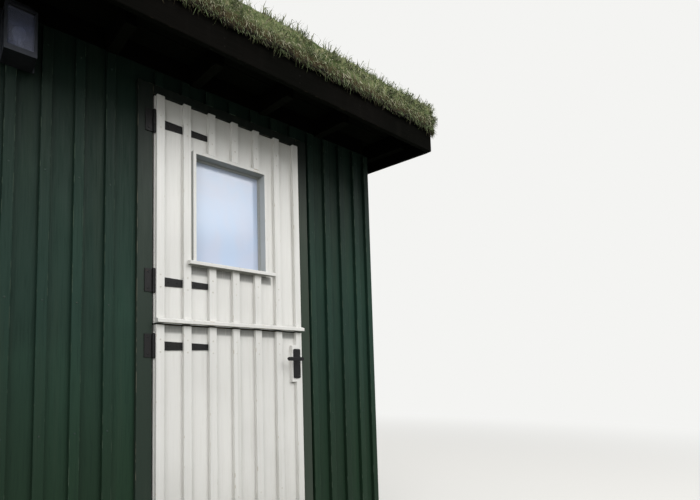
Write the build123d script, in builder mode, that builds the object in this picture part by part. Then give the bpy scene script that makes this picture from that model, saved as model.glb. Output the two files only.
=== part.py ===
from build123d import *
import os
from math import cos, radians, tan

# Camping pod: a boarded timber cabin on runners, with a stable door and a turf roof.
# Millimetres. The origin is at ground level under the middle of the plan, +Z is up,
# and the front wall with the door faces -Y.

# Plan, over the wall boards
pod_length = 3600.0
pod_depth = 2400.0
wall_thickness = 95.0

# Runners, floor frame and floor
runner_width = 100.0
runner_height = 100.0
runner_spacing = 950.0
runner_bevel = 45.0
joist_width = 47.0
joist_depth = 145.0
joist_count = 9
floor_thickness = 22.0
floor_inset = 19.0

# Base boards round the floor frame
base_board_height = 150.0
base_board_drip = 13.0
base_board_bevel = 8.0
board_joint = 1.0

# Walls above the floor
wall_over_door = 82.0
batten_width = 38.0
batten_depth = 19.0
wall_module = 124.0
batten_top_gap = 8.0
corner_trim_width = 38.0

# Stable door: two leaves in a rebated frame
corner_to_leaf = 586.0
leaf_width = 826.0
bottom_leaf_height = 957.0
top_leaf_height = 1017.0
leaf_board = 20.0
side_gap = 6.0
head_gap = 6.0
split_gap = 7.0
sill_gap = 6.0
jamb_width = 70.0
jamb_to_batten = 18.0
batten_to_jamb = 98.0
head_jamb_height = 45.0
stop_width = 20.0
stop_gap = 5.0
threshold_thickness = 33.0
threshold_nose = 34.0
threshold_fall = 9.0

# Battens, ledges and braces of the leaves
leaf_batten_count = 7
first_batten_inset = 4.0
ledge_depth = 28.0
ledge_height = 70.0
ledge_inset = 22.0
brace_width = 70.0
brace_joint = 0.5
lock_block_margin = 7.0
lock_block_height = 190.0

# Window in the top leaf
window_from_hinge_edge = 199.0
window_below_top = 220.0
window_width = 396.0
window_height = 505.0
window_lining = 15.0
window_back = 28.0
glass_thickness = 4.0
glass_fit = 0.3
glass_lip = 9.0
glass_lip_width = 10.0
window_sill_height = 22.0
window_sill_horn = 30.0
window_sill_nose = 24.0
window_sill_fall = 6.0

# Weather bar along the foot of the top leaf
weather_bar_height = 24.0
weather_bar_nose = 25.0
weather_bar_fall = 8.0

# T hinges: strap on the leaf, plate on the jamb, loose pin
strap_length = 290.0
strap_root = 42.0
strap_tip = 26.0
hinge_metal = 4.0
hinge_plate_height = 100.0
hinge_plate_width = 32.0
knuckle_radius = 7.0
knuckle_gap = 1.0
pin_radius = 3.5
pin_clearance = 0.05
pin_head_radius = 5.5
pin_head = 3.0
strap_notch_gap = 3.0
strap_notch_lift = 1.0
ledge_over_window = 48.0
ledge_under_window = 59.0
bottom_leaf_upper_strap = 90.0
bottom_leaf_lower_strap = 150.0
middle_ledge = 500.0

# Lever handles on long plates
handle_from_edge = 38.0
handle_plate_width = 45.0
handle_plate_height = 152.0
handle_plate_metal = 5.0
handle_plate_corner = 8.0
handle_below_split = 162.0
spindle_below_split = 140.0
lever_neck_radius = 8.0
lever_neck_clearance = 0.05
lever_foot_gap = 0.3
lever_length = 106.0
lever_reach = 50.0
lever_depth = 12.0
lever_height = 19.0
lever_edge = 3.0

# Wall lantern
lantern_from_leaf = 549.0
lantern_below_leaf_top = 96.0
lantern_width = 107.0
lantern_depth = 90.0
lantern_height = 205.0
lantern_plate_width = 120.0
lantern_plate = 8.0
lantern_base = 20.0
lantern_cap = 38.0
lantern_rim = 8.0
lantern_bar = 9.0
lantern_glass_wall = 3.0
lantern_cap_top = 0.5

# Roof frame
roof_pitch = 5.0
rafter_width = 47.0
rafter_depth = 97.0
rafter_spacing = 400.0
rafter_end_gap = 60.0
rafter_tail = 230.0
rafter_tail_depth = 48.0
ridge_beam_width = 47.0
ridge_beam_depth = 145.0
eaves_overhang = 386.0
verge_overhang = 137.0
deck_thickness = 22.0
fascia_thickness = 22.0
fascia_drop = 60.0
verge_joint = 2.0

# Turf
kerb_rise = 40.0
turf_thickness = 100.0
turf_lip = 32.0
turf_shows_fascia = 75.0
turf_round = 28.0

os.makedirs("parts", exist_ok=True)

# Levels
joist_base = runner_height
floor_base = joist_base + joist_depth
floor_top = floor_base + floor_thickness
threshold_top = floor_top + threshold_thickness
bottom_leaf_base = threshold_top + sill_gap
bottom_leaf_top = bottom_leaf_base + bottom_leaf_height
top_leaf_base = bottom_leaf_top + split_gap
top_leaf_top = top_leaf_base + top_leaf_height
head_base = top_leaf_top + head_gap
head_top = head_base + head_jamb_height
eaves_height = head_top + wall_over_door

# Faces, as distances from the middle of the plan
half_length = pod_length / 2
half_depth = pod_depth / 2
inner_half_length = half_length - wall_thickness
inner_half_depth = half_depth - wall_thickness
cladding_half_length = half_length + batten_depth
cladding_half_depth = half_depth + batten_depth
frame_length = pod_length - 2 * floor_inset
frame_depth = pod_depth - 2 * floor_inset

# Door lines along X, and its faces as distances in front of the middle
leaf_right = half_length - corner_to_leaf
leaf_left = leaf_right - leaf_width
leaf_middle = (leaf_left + leaf_right) / 2
opening_left = leaf_left - side_gap
opening_right = leaf_right + side_gap
frame_left = opening_left - jamb_width
frame_right = opening_right + jamb_width
leaf_face = cladding_half_depth
leaf_back = leaf_face - leaf_board
leaf_batten_face = leaf_face + batten_depth
ledge_face = leaf_back - ledge_depth
stop_face = leaf_back - stop_gap
leaf_batten_pitch = (leaf_width - first_batten_inset - batten_width) / (leaf_batten_count - 1)
leaf_batten_centres = [
    leaf_left + first_batten_inset + batten_width / 2 + n * leaf_batten_pitch
    for n in range(leaf_batten_count)
]

# Hinge line, in the middle of the gap beside the leaves
pin_x = leaf_left - side_gap / 2
pin_y = -(leaf_face + knuckle_radius)

# Window lines
window_left = leaf_left + window_from_hinge_edge
window_middle = window_left + window_width / 2
window_top = top_leaf_top - window_below_top
window_bottom = window_top - window_height
window_centre = (window_middle, (window_top + window_bottom) / 2)
lining_width = window_width + 2 * window_lining
lining_height = window_height + 2 * window_lining
window_inside = leaf_back - window_back
glass_back = window_inside + glass_lip

# Strap lines: each strap has a ledge behind it, and the top leaf's ledges clear the lining
top_strap_heights = [
    window_top + window_lining + ledge_over_window + ledge_height / 2,
    window_bottom - window_lining - ledge_under_window - ledge_height / 2,
]
bottom_strap_heights = [
    bottom_leaf_top - bottom_leaf_upper_strap,
    bottom_leaf_base + bottom_leaf_lower_strap,
]

# Handle lines
handle_x = leaf_right - handle_from_edge
handle_z = bottom_leaf_top - handle_below_split
spindle_z = bottom_leaf_top - spindle_below_split
lock_block_left = handle_x - handle_plate_width / 2 - lock_block_margin

# Roof lines
slope = tan(radians(roof_pitch))
stretch = 1 / cos(radians(roof_pitch))
fascia_back = half_depth + eaves_overhang - fascia_thickness
fascia_face = half_depth + eaves_overhang
verge_face = half_length + verge_overhang
verge_back = verge_face - fascia_thickness
ridge_half = ridge_beam_width / 2


def underside(distance):
    """Height of the rafters' underside at a distance from the ridge."""
    return eaves_height + (inner_half_depth - distance) * slope


def rafter_top(distance):
    """Height of the rafters' top, which the deck lies on."""
    return underside(distance) + rafter_depth * stretch


def deck_top(distance):
    """Height of the deck's top, under the turf."""
    return rafter_top(distance) + deck_thickness * stretch


def board_base(distance):
    """Height of the foot of the fascias and verge boards, which hang below the rafters."""
    return underside(distance) - fascia_drop


def kerb_top(distance):
    """Height of the top of the fascias and verge boards, which keep the turf in."""
    return deck_top(distance) + kerb_rise


def turf_top(distance):
    """Height of the turf's surface."""
    return deck_top(distance) + turf_thickness


def facing(distance):
    """A sketch plane that looks at the front, at a distance in front of the middle."""
    return Plane.XZ.offset(distance)


def across(x):
    """A sketch plane across the pod, with Y to its right and Z up."""
    return Plane.YZ.offset(x)


def sided(side, points):
    """Distance and height points, put on the front side (-1) or the back side (1)."""
    return [(side * distance, height) for distance, height in points]


def rafter_outline(side, seated):
    """A rafter: level seat on the wall, plumb end at the ridge, stepped tail."""
    tail_end = half_depth + rafter_tail
    points = [(ridge_half, underside(ridge_half))]
    if seated:
        points += [
            (inner_half_depth, eaves_height),
            (half_depth, eaves_height),
            (half_depth, underside(half_depth)),
        ]
    points += [
        (tail_end, underside(tail_end)),
        (tail_end, rafter_top(tail_end) - rafter_tail_depth * stretch),
        (fascia_back, rafter_top(fascia_back) - rafter_tail_depth * stretch),
        (fascia_back, rafter_top(fascia_back)),
        (ridge_half, rafter_top(ridge_half)),
    ]
    return sided(side, points)


# Three runners along the pod, their ends bevelled for dragging
with BuildPart() as runners:
    for y in (-runner_spacing, 0, runner_spacing):
        with BuildSketch(Plane.XZ.offset(runner_width / 2 - y)):
            with BuildLine():
                Polyline(
                    (-frame_length / 2 + runner_bevel, 0),
                    (frame_length / 2 - runner_bevel, 0),
                    (frame_length / 2, runner_bevel),
                    (frame_length / 2, runner_height),
                    (-frame_length / 2, runner_height),
                    (-frame_length / 2, runner_bevel),
                    close=True,
                )
            make_face()
        extrude(amount=-runner_width)

# Rim joists along the front and back
with BuildPart() as rim_joists:
    with BuildSketch(Plane.XY.offset(joist_base)):
        with GridLocations(0, frame_depth - joist_width, 1, 2):
            Rectangle(frame_length, joist_width)
    extrude(amount=joist_depth)

# Floor joists between them
with BuildPart() as floor_joists:
    joist_pitch = (frame_length - joist_width) / (joist_count - 1)
    with BuildSketch(Plane.XY.offset(joist_base)):
        with GridLocations(joist_pitch, 0, joist_count, 1):
            Rectangle(joist_width, frame_depth - 2 * joist_width)
    extrude(amount=joist_depth)

with BuildPart() as floor_deck:
    with BuildSketch(Plane.XY.offset(floor_base)):
        Rectangle(frame_length, frame_depth)
    extrude(amount=floor_thickness)


def base_board_outline(side, inner, outer):
    """A base board's section, its top bevelled outside the wall boards."""
    return sided(side, [
        (inner, floor_top - base_board_height),
        (outer, floor_top - base_board_height),
        (outer, floor_top - base_board_bevel),
        (outer - base_board_drip, floor_top),
        (inner, floor_top),
    ])


# Base boards: the long ones cover the ends of the short ones
with BuildPart() as base_boards:
    base_length = pod_length + 2 * base_board_drip
    for side in (-1, 1):
        outline = base_board_outline(side, frame_depth / 2, half_depth + base_board_drip)
        with BuildSketch(across(-base_length / 2)):
            with BuildLine():
                Polyline(*outline, close=True)
            make_face()
        extrude(amount=base_length)
    base_width = frame_depth - 2 * board_joint
    for side in (-1, 1):
        outline = base_board_outline(side, frame_length / 2, half_length + base_board_drip)
        with BuildSketch(facing(-base_width / 2)):
            with BuildLine():
                Polyline(*outline, close=True)
            make_face()
        extrude(amount=base_width)


def front_slab(left, right, base, top):
    """A stretch of the front wall between two lines, as a sketch and its thickness."""
    with BuildSketch(facing(inner_half_depth)) as profile:
        with Locations(((left + right) / 2, (base + top) / 2)):
            Rectangle(right - left, top - base)
    extrude(profile.sketch, amount=wall_thickness)


with BuildPart() as front_wall_left:
    front_slab(-half_length, frame_left, floor_top, eaves_height)

with BuildPart() as front_wall_right:
    front_slab(frame_right, half_length, floor_top, eaves_height)

with BuildPart() as front_wall_head:
    front_slab(frame_left, frame_right, head_top, eaves_height)

with BuildPart() as back_wall:
    with BuildSketch(facing(-half_depth)):
        with Locations((0, (floor_top + eaves_height) / 2)):
            Rectangle(pod_length, eaves_height - floor_top)
    extrude(amount=wall_thickness)


def gable_slab(start):
    """An end wall up to the roof deck, notched for the ridge beam."""
    ridge_base = rafter_top(ridge_half) - ridge_beam_depth
    with BuildSketch(across(start)) as profile:
        with BuildLine():
            Polyline(
                (-inner_half_depth, floor_top),
                (inner_half_depth, floor_top),
                (inner_half_depth, rafter_top(inner_half_depth)),
                (ridge_half, rafter_top(ridge_half)),
                (ridge_half, ridge_base),
                (-ridge_half, ridge_base),
                (-ridge_half, rafter_top(ridge_half)),
                (-inner_half_depth, rafter_top(inner_half_depth)),
                close=True,
            )
        make_face()
    extrude(profile.sketch, amount=wall_thickness)


with BuildPart() as left_wall:
    gable_slab(-half_length)

with BuildPart() as right_wall:
    gable_slab(inner_half_length)

# Battens of the front wall: from the jambs outwards, and short ones over the door head
batten_top = underside(half_depth) - batten_top_gap
trim_inner = cladding_half_length - corner_trim_width
smallest_valley = batten_width / 2
left_centres = []
centre = frame_left - batten_to_jamb - batten_width / 2
while centre - batten_width / 2 - smallest_valley > -trim_inner:
    left_centres.append(centre)
    centre -= wall_module
right_centres = []
centre = frame_right + jamb_to_batten + batten_width / 2
while centre + batten_width / 2 + smallest_valley < trim_inner:
    right_centres.append(centre)
    centre += wall_module

with BuildPart() as front_battens:
    with BuildSketch(Plane.XY.offset(floor_top)):
        with Locations(*[(x, -half_depth - batten_depth / 2) for x in left_centres + right_centres]):
            Rectangle(batten_width, batten_depth)
    extrude(amount=batten_top - floor_top)
    with BuildSketch(Plane.XY.offset(head_top)):
        with Locations(*[(x, -half_depth - batten_depth / 2) for x in leaf_batten_centres]):
            Rectangle(batten_width, batten_depth)
    extrude(amount=batten_top - head_top)

with BuildPart() as back_battens:
    back_bays = round(pod_length / wall_module)
    with BuildSketch(Plane.XY.offset(floor_top)):
        with Locations((0, half_depth + batten_depth / 2)):
            with GridLocations(pod_length / back_bays, 0, back_bays - 1, 1):
                Rectangle(batten_width, batten_depth)
    extrude(amount=batten_top - floor_top)


def gable_battens(side):
    """Battens of an end wall, each cut to length under the roof deck."""
    bays = round(pod_depth / wall_module)
    for n in range(1, bays):
        y = -half_depth + n * pod_depth / bays
        top = rafter_top(abs(y) + batten_width / 2) - batten_top_gap
        with BuildSketch(Plane.XY.offset(floor_top)) as profile:
            with Locations((side * (half_length + batten_depth / 2), y)):
                Rectangle(batten_depth, batten_width)
        extrude(profile.sketch, amount=top - floor_top)


with BuildPart() as left_battens:
    gable_battens(-1)

with BuildPart() as right_battens:
    gable_battens(1)

# L-shaped trims over the four corners
with BuildPart() as corner_trims:
    long_x, long_y = cladding_half_length, cladding_half_depth
    with BuildSketch(Plane.XY.offset(floor_top)):
        for sx in (-1, 1):
            for sy in (-1, 1):
                with BuildLine():
                    Polyline(
                        (sx * long_x, sy * long_y),
                        (sx * (long_x - corner_trim_width), sy * long_y),
                        (sx * (long_x - corner_trim_width), sy * half_depth),
                        (sx * half_length, sy * half_depth),
                        (sx * half_length, sy * (long_y - corner_trim_width)),
                        (sx * long_x, sy * (long_y - corner_trim_width)),
                        close=True,
                    )
                make_face()
    extrude(amount=batten_top - floor_top)

# Door frame: rebated jambs and head, and a weathered threshold between them
with BuildPart() as door_jambs:
    with BuildSketch(Plane.XY.offset(floor_top)):
        for inner, outer, stop in (
            (opening_left, frame_left, opening_left + stop_width),
            (opening_right, frame_right, opening_right - stop_width),
        ):
            with BuildLine():
                Polyline(
                    (outer, -leaf_face),
                    (inner, -leaf_face),
                    (inner, -stop_face),
                    (stop, -stop_face),
                    (stop, -inner_half_depth),
                    (outer, -inner_half_depth),
                    close=True,
                )
            make_face()
    extrude(amount=head_top - floor_top)

with BuildPart() as door_head:
    with BuildSketch(across(opening_left + stop_width)):
        with BuildLine():
            Polyline(
                *sided(-1, [
                    (leaf_face, head_base),
                    (leaf_face, head_top),
                    (inner_half_depth, head_top),
                    (inner_half_depth, head_base - stop_width),
                    (stop_face, head_base - stop_width),
                    (stop_face, head_base),
                ]),
                close=True,
            )
        make_face()
    extrude(amount=opening_right - opening_left - 2 * stop_width)
    with BuildSketch(facing(stop_face)):
        with Locations((leaf_middle, (head_base + head_top) / 2)):
            Rectangle(opening_right - opening_left, head_jamb_height)
    extrude(amount=leaf_face - stop_face)

with BuildPart() as threshold:
    with BuildSketch(across(opening_left + stop_width)):
        with BuildLine():
            Polyline(
                *sided(-1, [
                    (inner_half_depth, floor_top),
                    (leaf_face + threshold_nose, floor_top),
                    (leaf_face + threshold_nose, threshold_top - threshold_fall),
                    (leaf_back, threshold_top),
                    (inner_half_depth, threshold_top),
                ]),
                close=True,
            )
        make_face()
    extrude(amount=opening_right - opening_left - 2 * stop_width)

# Ridge beam, long enough to carry the verges
with BuildPart() as ridge_beam:
    with BuildSketch(across(-verge_back)):
        with Locations((0, rafter_top(ridge_half) - ridge_beam_depth / 2)):
            Rectangle(ridge_beam_width, ridge_beam_depth)
    extrude(amount=2 * verge_back)

half_pairs = int((inner_half_length - rafter_end_gap - rafter_width / 2) / rafter_spacing + 0.5)
rafter_lines = [(n + 0.5) * rafter_spacing for n in range(-half_pairs, half_pairs)]
verge_rafter = verge_back - rafter_width / 2

# Common rafters seated on the walls, and a pair without a seat at each verge
with BuildPart() as rafters:
    for x in [-verge_rafter, *rafter_lines, verge_rafter]:
        with BuildSketch(across(x - rafter_width / 2)):
            for side in (-1, 1):
                with BuildLine():
                    Polyline(*rafter_outline(side, abs(x) < half_length), close=True)
                make_face()
        extrude(amount=rafter_width)

# Blocking on the wall tops, between the rafters and up to the deck
with BuildPart() as eaves_blocking:
    edges_of_bays = [-half_length]
    for x in rafter_lines:
        edges_of_bays += [x - rafter_width / 2, x + rafter_width / 2]
    edges_of_bays.append(half_length)
    for start, end in zip(edges_of_bays[::2], edges_of_bays[1::2]):
        with BuildSketch(across(start)):
            for side in (-1, 1):
                with BuildLine():
                    Polyline(
                        *sided(side, [
                            (inner_half_depth, eaves_height),
                            (half_depth, eaves_height),
                            (half_depth, rafter_top(half_depth)),
                            (inner_half_depth, rafter_top(inner_half_depth)),
                        ]),
                        close=True,
                    )
                make_face()
        extrude(amount=end - start)


def roof_deck(side):
    """One slope of the boarded deck, from the ridge to the fascia."""
    with BuildSketch(across(-verge_back)) as profile:
        with BuildLine():
            Polyline(
                *sided(side, [
                    (0, rafter_top(0)),
                    (fascia_back, rafter_top(fascia_back)),
                    (fascia_back, deck_top(fascia_back)),
                    (0, deck_top(0)),
                ]),
                close=True,
            )
        make_face()
    extrude(profile.sketch, amount=2 * verge_back)


with BuildPart() as roof_deck_front:
    roof_deck(-1)

with BuildPart() as roof_deck_back:
    roof_deck(1)

# Fascias along the eaves, over the ends of the verge boards
with BuildPart() as fascia_boards:
    for side in (-1, 1):
        with BuildSketch(across(-verge_face)):
            with BuildLine():
                Polyline(
                    *sided(side, [
                        (fascia_back, board_base(fascia_back)),
                        (fascia_face, board_base(fascia_back)),
                        (fascia_face, kerb_top(fascia_face)),
                        (fascia_back, kerb_top(fascia_back)),
                    ]),
                    close=True,
                )
            make_face()
        extrude(amount=2 * verge_face)

# Verge boards up both slopes at each end, with a plumb joint at the ridge
with BuildPart() as verge_boards:
    for start in (-verge_face, verge_back):
        with BuildSketch(across(start)):
            for side in (-1, 1):
                with BuildLine():
                    Polyline(
                        *sided(side, [
                            (verge_joint / 2, board_base(verge_joint / 2)),
                            (fascia_back, board_base(fascia_back)),
                            (fascia_back, kerb_top(fascia_back)),
                            (verge_joint / 2, kerb_top(verge_joint / 2)),
                        ]),
                        close=True,
                    )
                make_face()
        extrude(amount=fascia_thickness)

turf_edge = fascia_face + turf_lip
turf_end = verge_face + turf_lip


def turf(side):
    """Turf on one slope: a bed inside the kerb, a mat over it and a lip down its outside."""
    lip_base = board_base(fascia_back) + turf_shows_fascia
    with BuildSketch(across(-verge_back)) as profile:
        with BuildLine():
            Polyline(
                *sided(side, [
                    (0, deck_top(0)),
                    (fascia_back, deck_top(fascia_back)),
                    (fascia_back, turf_top(fascia_back)),
                    (0, turf_top(0)),
                ]),
                close=True,
            )
        make_face()
    extrude(profile.sketch, amount=2 * verge_back)
    with BuildSketch(across(-turf_end)) as profile:
        with BuildLine():
            Polyline(
                *sided(side, [
                    (0, kerb_top(0)),
                    (fascia_face, kerb_top(fascia_face)),
                    (fascia_face, lip_base),
                    (turf_edge, lip_base),
                    (turf_edge, turf_top(turf_edge)),
                    (0, turf_top(0)),
                ]),
                close=True,
            )
        make_face()
    extrude(profile.sketch, amount=2 * turf_end)
    for start in (-turf_end, verge_face):
        with BuildSketch(across(start)) as profile:
            with BuildLine():
                Polyline(
                    *sided(side, [
                        (0, board_base(0) + turf_shows_fascia),
                        (fascia_face, board_base(fascia_face) + turf_shows_fascia),
                        (fascia_face, turf_top(fascia_face)),
                        (0, turf_top(0)),
                    ]),
                    close=True,
                )
            make_face()
        extrude(profile.sketch, amount=turf_lip)


with BuildPart() as turf_front:
    turf(-1)
    mat = turf_front.faces().filter_by(lambda f: f.normal_at().Z > slope).sort_by(SortBy.AREA)[-1]
    fillet(mat.edges().filter_by(lambda e: e.center().Y < -turf_round), turf_round)

with BuildPart() as turf_back:
    turf(1)
    mat = turf_back.faces().filter_by(lambda f: f.normal_at().Z > slope).sort_by(SortBy.AREA)[-1]
    fillet(mat.edges().filter_by(lambda e: e.center().Y > turf_round), turf_round)


def leaf_boards(base, top):
    """The boards of a leaf, as one panel."""
    with BuildSketch(facing(leaf_back)) as profile:
        with Locations((leaf_middle, (base + top) / 2)):
            Rectangle(leaf_width, top - base)
    extrude(profile.sketch, amount=leaf_board)


def leaf_battens(base, top, strap_heights):
    """Battens over the joints of a leaf's boards, notched over the hinge straps."""
    with BuildSketch(facing(leaf_face)) as profile:
        with Locations(*[(x, (base + top) / 2) for x in leaf_batten_centres]):
            Rectangle(batten_width, top - base)
    extrude(profile.sketch, amount=batten_depth)
    notch_length = strap_length + strap_notch_gap
    with BuildSketch(facing(leaf_face)) as profile:
        with Locations(*[(pin_x + notch_length / 2, z) for z in strap_heights]):
            Rectangle(notch_length, strap_root + 2 * strap_notch_gap)
    extrude(profile.sketch, amount=hinge_metal + strap_notch_lift, mode=Mode.SUBTRACT)


def ledges(heights):
    """Level ledges across the back of a leaf, clear of the door stops."""
    with BuildSketch(facing(ledge_face)) as profile:
        with Locations(*[(leaf_middle, z) for z in heights]):
            Rectangle(leaf_width - 2 * ledge_inset, ledge_height)
    extrude(profile.sketch, amount=ledge_depth)


def brace(lower, upper):
    """A brace that rises from the hinge side, between two ledges."""
    start = leaf_left + ledge_inset
    end = leaf_right - ledge_inset
    low = lower + ledge_height / 2 + brace_joint
    high = upper - ledge_height / 2 - brace_joint
    with BuildSketch(facing(ledge_face)) as profile:
        with BuildLine():
            Polyline(
                (start, low),
                (start + brace_width, low),
                (end, high),
                (end - brace_width, high),
                close=True,
            )
        make_face()
    extrude(profile.sketch, amount=ledge_depth)


def straps(heights):
    """Tapered straps with a round end, each rolled into the hinge's middle knuckle."""
    for z in heights:
        root_low, root_high = (pin_x, z - strap_root / 2), (pin_x, z + strap_root / 2)
        tip_x = pin_x + strap_length - strap_tip / 2
        tip_low, tip_high = (tip_x, z - strap_tip / 2), (tip_x, z + strap_tip / 2)
        with BuildSketch(facing(leaf_face)) as profile:
            with BuildLine():
                Line(root_low, tip_low)
                ThreePointArc(tip_low, (pin_x + strap_length, z), tip_high)
                Polyline(tip_high, root_high, root_low)
            make_face()
        extrude(profile.sketch, amount=hinge_metal)
        with BuildSketch(Plane.XY.offset(z - strap_root / 2)) as profile:
            with Locations((pin_x, pin_y)):
                Circle(knuckle_radius)
        extrude(profile.sketch, amount=strap_root)
        with BuildSketch(Plane.XY.offset(z - strap_root / 2)) as profile:
            with Locations((pin_x, pin_y)):
                Circle(pin_radius + pin_clearance)
        extrude(profile.sketch, amount=strap_root, mode=Mode.SUBTRACT)


# Top leaf: boards cut for the window, with the battens stopped against its lining
with BuildPart() as top_leaf_boards:
    leaf_boards(top_leaf_base, top_leaf_top)
    with BuildSketch(facing(leaf_back)):
        with Locations(window_centre):
            Rectangle(lining_width, lining_height)
    extrude(amount=leaf_board, mode=Mode.SUBTRACT)

with BuildPart() as top_leaf_battens:
    leaf_battens(top_leaf_base, top_leaf_top, top_strap_heights)
    with BuildSketch(facing(leaf_face)):
        with Locations(window_centre):
            Rectangle(lining_width, lining_height)
    extrude(amount=batten_depth, mode=Mode.SUBTRACT)

with BuildPart() as top_leaf_ledges:
    ledges(top_strap_heights)

# Window lining with a glazing lip, and a sill planted over the battens
with BuildPart() as window_frame:
    with BuildSketch(facing(window_inside)):
        with Locations(window_centre):
            Rectangle(lining_width, lining_height)
            Rectangle(window_width, window_height, mode=Mode.SUBTRACT)
    extrude(amount=leaf_batten_face - window_inside)
    with BuildSketch(facing(window_inside)):
        with Locations(window_centre):
            Rectangle(window_width, window_height)
            Rectangle(
                window_width - 2 * glass_lip_width,
                window_height - 2 * glass_lip_width,
                mode=Mode.SUBTRACT,
            )
    extrude(amount=glass_lip)
    sill_width = lining_width + 2 * window_sill_horn
    with BuildSketch(across(window_middle - sill_width / 2)):
        with BuildLine():
            Polyline(
                *sided(-1, [
                    (leaf_batten_face, window_bottom - window_sill_height),
                    (leaf_batten_face + window_sill_nose, window_bottom - window_sill_height),
                    (leaf_batten_face + window_sill_nose, window_bottom - window_sill_fall),
                    (leaf_batten_face, window_bottom),
                ]),
                close=True,
            )
        make_face()
    extrude(amount=sill_width)

with BuildPart() as window_glass:
    with BuildSketch(facing(glass_back)):
        with Locations(window_centre):
            Rectangle(window_width - 2 * glass_fit, window_height - 2 * glass_fit)
    extrude(amount=glass_thickness)

with BuildPart() as weather_bar:
    bar_face = leaf_batten_face + weather_bar_nose
    with BuildSketch(across(leaf_left)):
        with BuildLine():
            Polyline(
                *sided(-1, [
                    (leaf_batten_face, top_leaf_base),
                    (bar_face, top_leaf_base),
                    (bar_face, top_leaf_base + weather_bar_height - weather_bar_fall),
                    (leaf_batten_face, top_leaf_base + weather_bar_height),
                ]),
                close=True,
            )
        make_face()
    extrude(amount=leaf_width)

with BuildPart() as top_leaf_straps:
    straps(top_strap_heights)

# Bottom leaf: ledged and braced, with blocks under the handle plates
with BuildPart() as bottom_leaf_boards:
    leaf_boards(bottom_leaf_base, bottom_leaf_top)

with BuildPart() as bottom_leaf_battens:
    leaf_battens(bottom_leaf_base, bottom_leaf_top, bottom_strap_heights)
    with BuildSketch(facing(leaf_face)):
        with Locations(((lock_block_left + leaf_right) / 2, handle_z)):
            Rectangle(leaf_right - lock_block_left, lock_block_height)
    extrude(amount=batten_depth)

middle_ledge_height = bottom_leaf_base + middle_ledge
bottom_ledge_heights = [bottom_strap_heights[0], middle_ledge_height, bottom_strap_heights[1]]
with BuildPart() as bottom_leaf_ledges:
    ledges(bottom_ledge_heights)
    brace(middle_ledge_height, bottom_strap_heights[0])
    brace(bottom_strap_heights[1], middle_ledge_height)
    lock_block_right = leaf_right - ledge_inset
    with BuildSketch(facing(ledge_face)):
        with Locations(((lock_block_left + lock_block_right) / 2, handle_z)):
            Rectangle(lock_block_right - lock_block_left, lock_block_height)
    extrude(amount=ledge_depth)

with BuildPart() as bottom_leaf_straps:
    straps(bottom_strap_heights)

# Hinge plates on the jamb, with the outer knuckles
with BuildPart() as hinge_plates:
    knuckle_inner = strap_root / 2 + knuckle_gap
    knuckle_length = hinge_plate_height / 2 - knuckle_inner
    plate_edge = pin_x - knuckle_radius - knuckle_gap
    for z in top_strap_heights + bottom_strap_heights:
        with BuildSketch(facing(leaf_face)):
            with Locations((plate_edge - hinge_plate_width / 2, z)):
                Rectangle(hinge_plate_width, hinge_plate_height)
            for side in (-1, 1):
                with Locations(((plate_edge + pin_x) / 2, z + side * (knuckle_inner + knuckle_length / 2))):
                    Rectangle(pin_x - plate_edge, knuckle_length)
        extrude(amount=hinge_metal)
        for base in (z - hinge_plate_height / 2, z + knuckle_inner):
            with BuildSketch(Plane.XY.offset(base)):
                with Locations((pin_x, pin_y)):
                    Circle(knuckle_radius)
            extrude(amount=knuckle_length)
        with BuildSketch(Plane.XY.offset(z - hinge_plate_height / 2)):
            with Locations((pin_x, pin_y)):
                Circle(pin_radius + pin_clearance)
        extrude(amount=hinge_plate_height, mode=Mode.SUBTRACT)

# Hinge pins, held by a head at each end
with BuildPart() as hinge_pins:
    for z in top_strap_heights + bottom_strap_heights:
        with BuildSketch(Plane.XY.offset(z - hinge_plate_height / 2)):
            with Locations((pin_x, pin_y)):
                Circle(pin_radius)
        extrude(amount=hinge_plate_height)
        for base in (z - hinge_plate_height / 2 - pin_head, z + hinge_plate_height / 2):
            with BuildSketch(Plane.XY.offset(base)):
                with Locations((pin_x, pin_y)):
                    Circle(pin_head_radius)
            extrude(amount=pin_head)

# Handle plates on both sides of the bottom leaf, bored for the lever necks
with BuildPart() as handle_plates:
    for start in (leaf_batten_face, ledge_face - handle_plate_metal):
        with BuildSketch(facing(start)):
            with Locations((handle_x, handle_z)):
                RectangleRounded(handle_plate_width, handle_plate_height, handle_plate_corner)
            with Locations((handle_x, spindle_z)):
                Circle(lever_neck_radius + lever_neck_clearance, mode=Mode.SUBTRACT)
        extrude(amount=handle_plate_metal)

# Lever handles on one axis, outside and inside, both pointing to the hinges
with BuildPart() as lever:
    for foot, way in ((leaf_batten_face + lever_foot_gap, 1), (ledge_face - lever_foot_gap, -1)):
        tip = foot + way * lever_reach
        with BuildSketch(facing(foot)):
            with Locations((handle_x, spindle_z)):
                Circle(lever_neck_radius)
        extrude(amount=way * lever_reach)
        with BuildSketch(facing(tip)):
            with Locations((handle_x - (lever_length - lever_height) / 2, spindle_z)):
                SlotOverall(lever_length, lever_height)
        extrude(amount=-way * lever_depth)
    grip_ends = lever.edges().filter_by(GeomType.CIRCLE).filter_by(lambda e: e.radius > lever_neck_radius)
    fillet(grip_ends, lever_edge)

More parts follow.
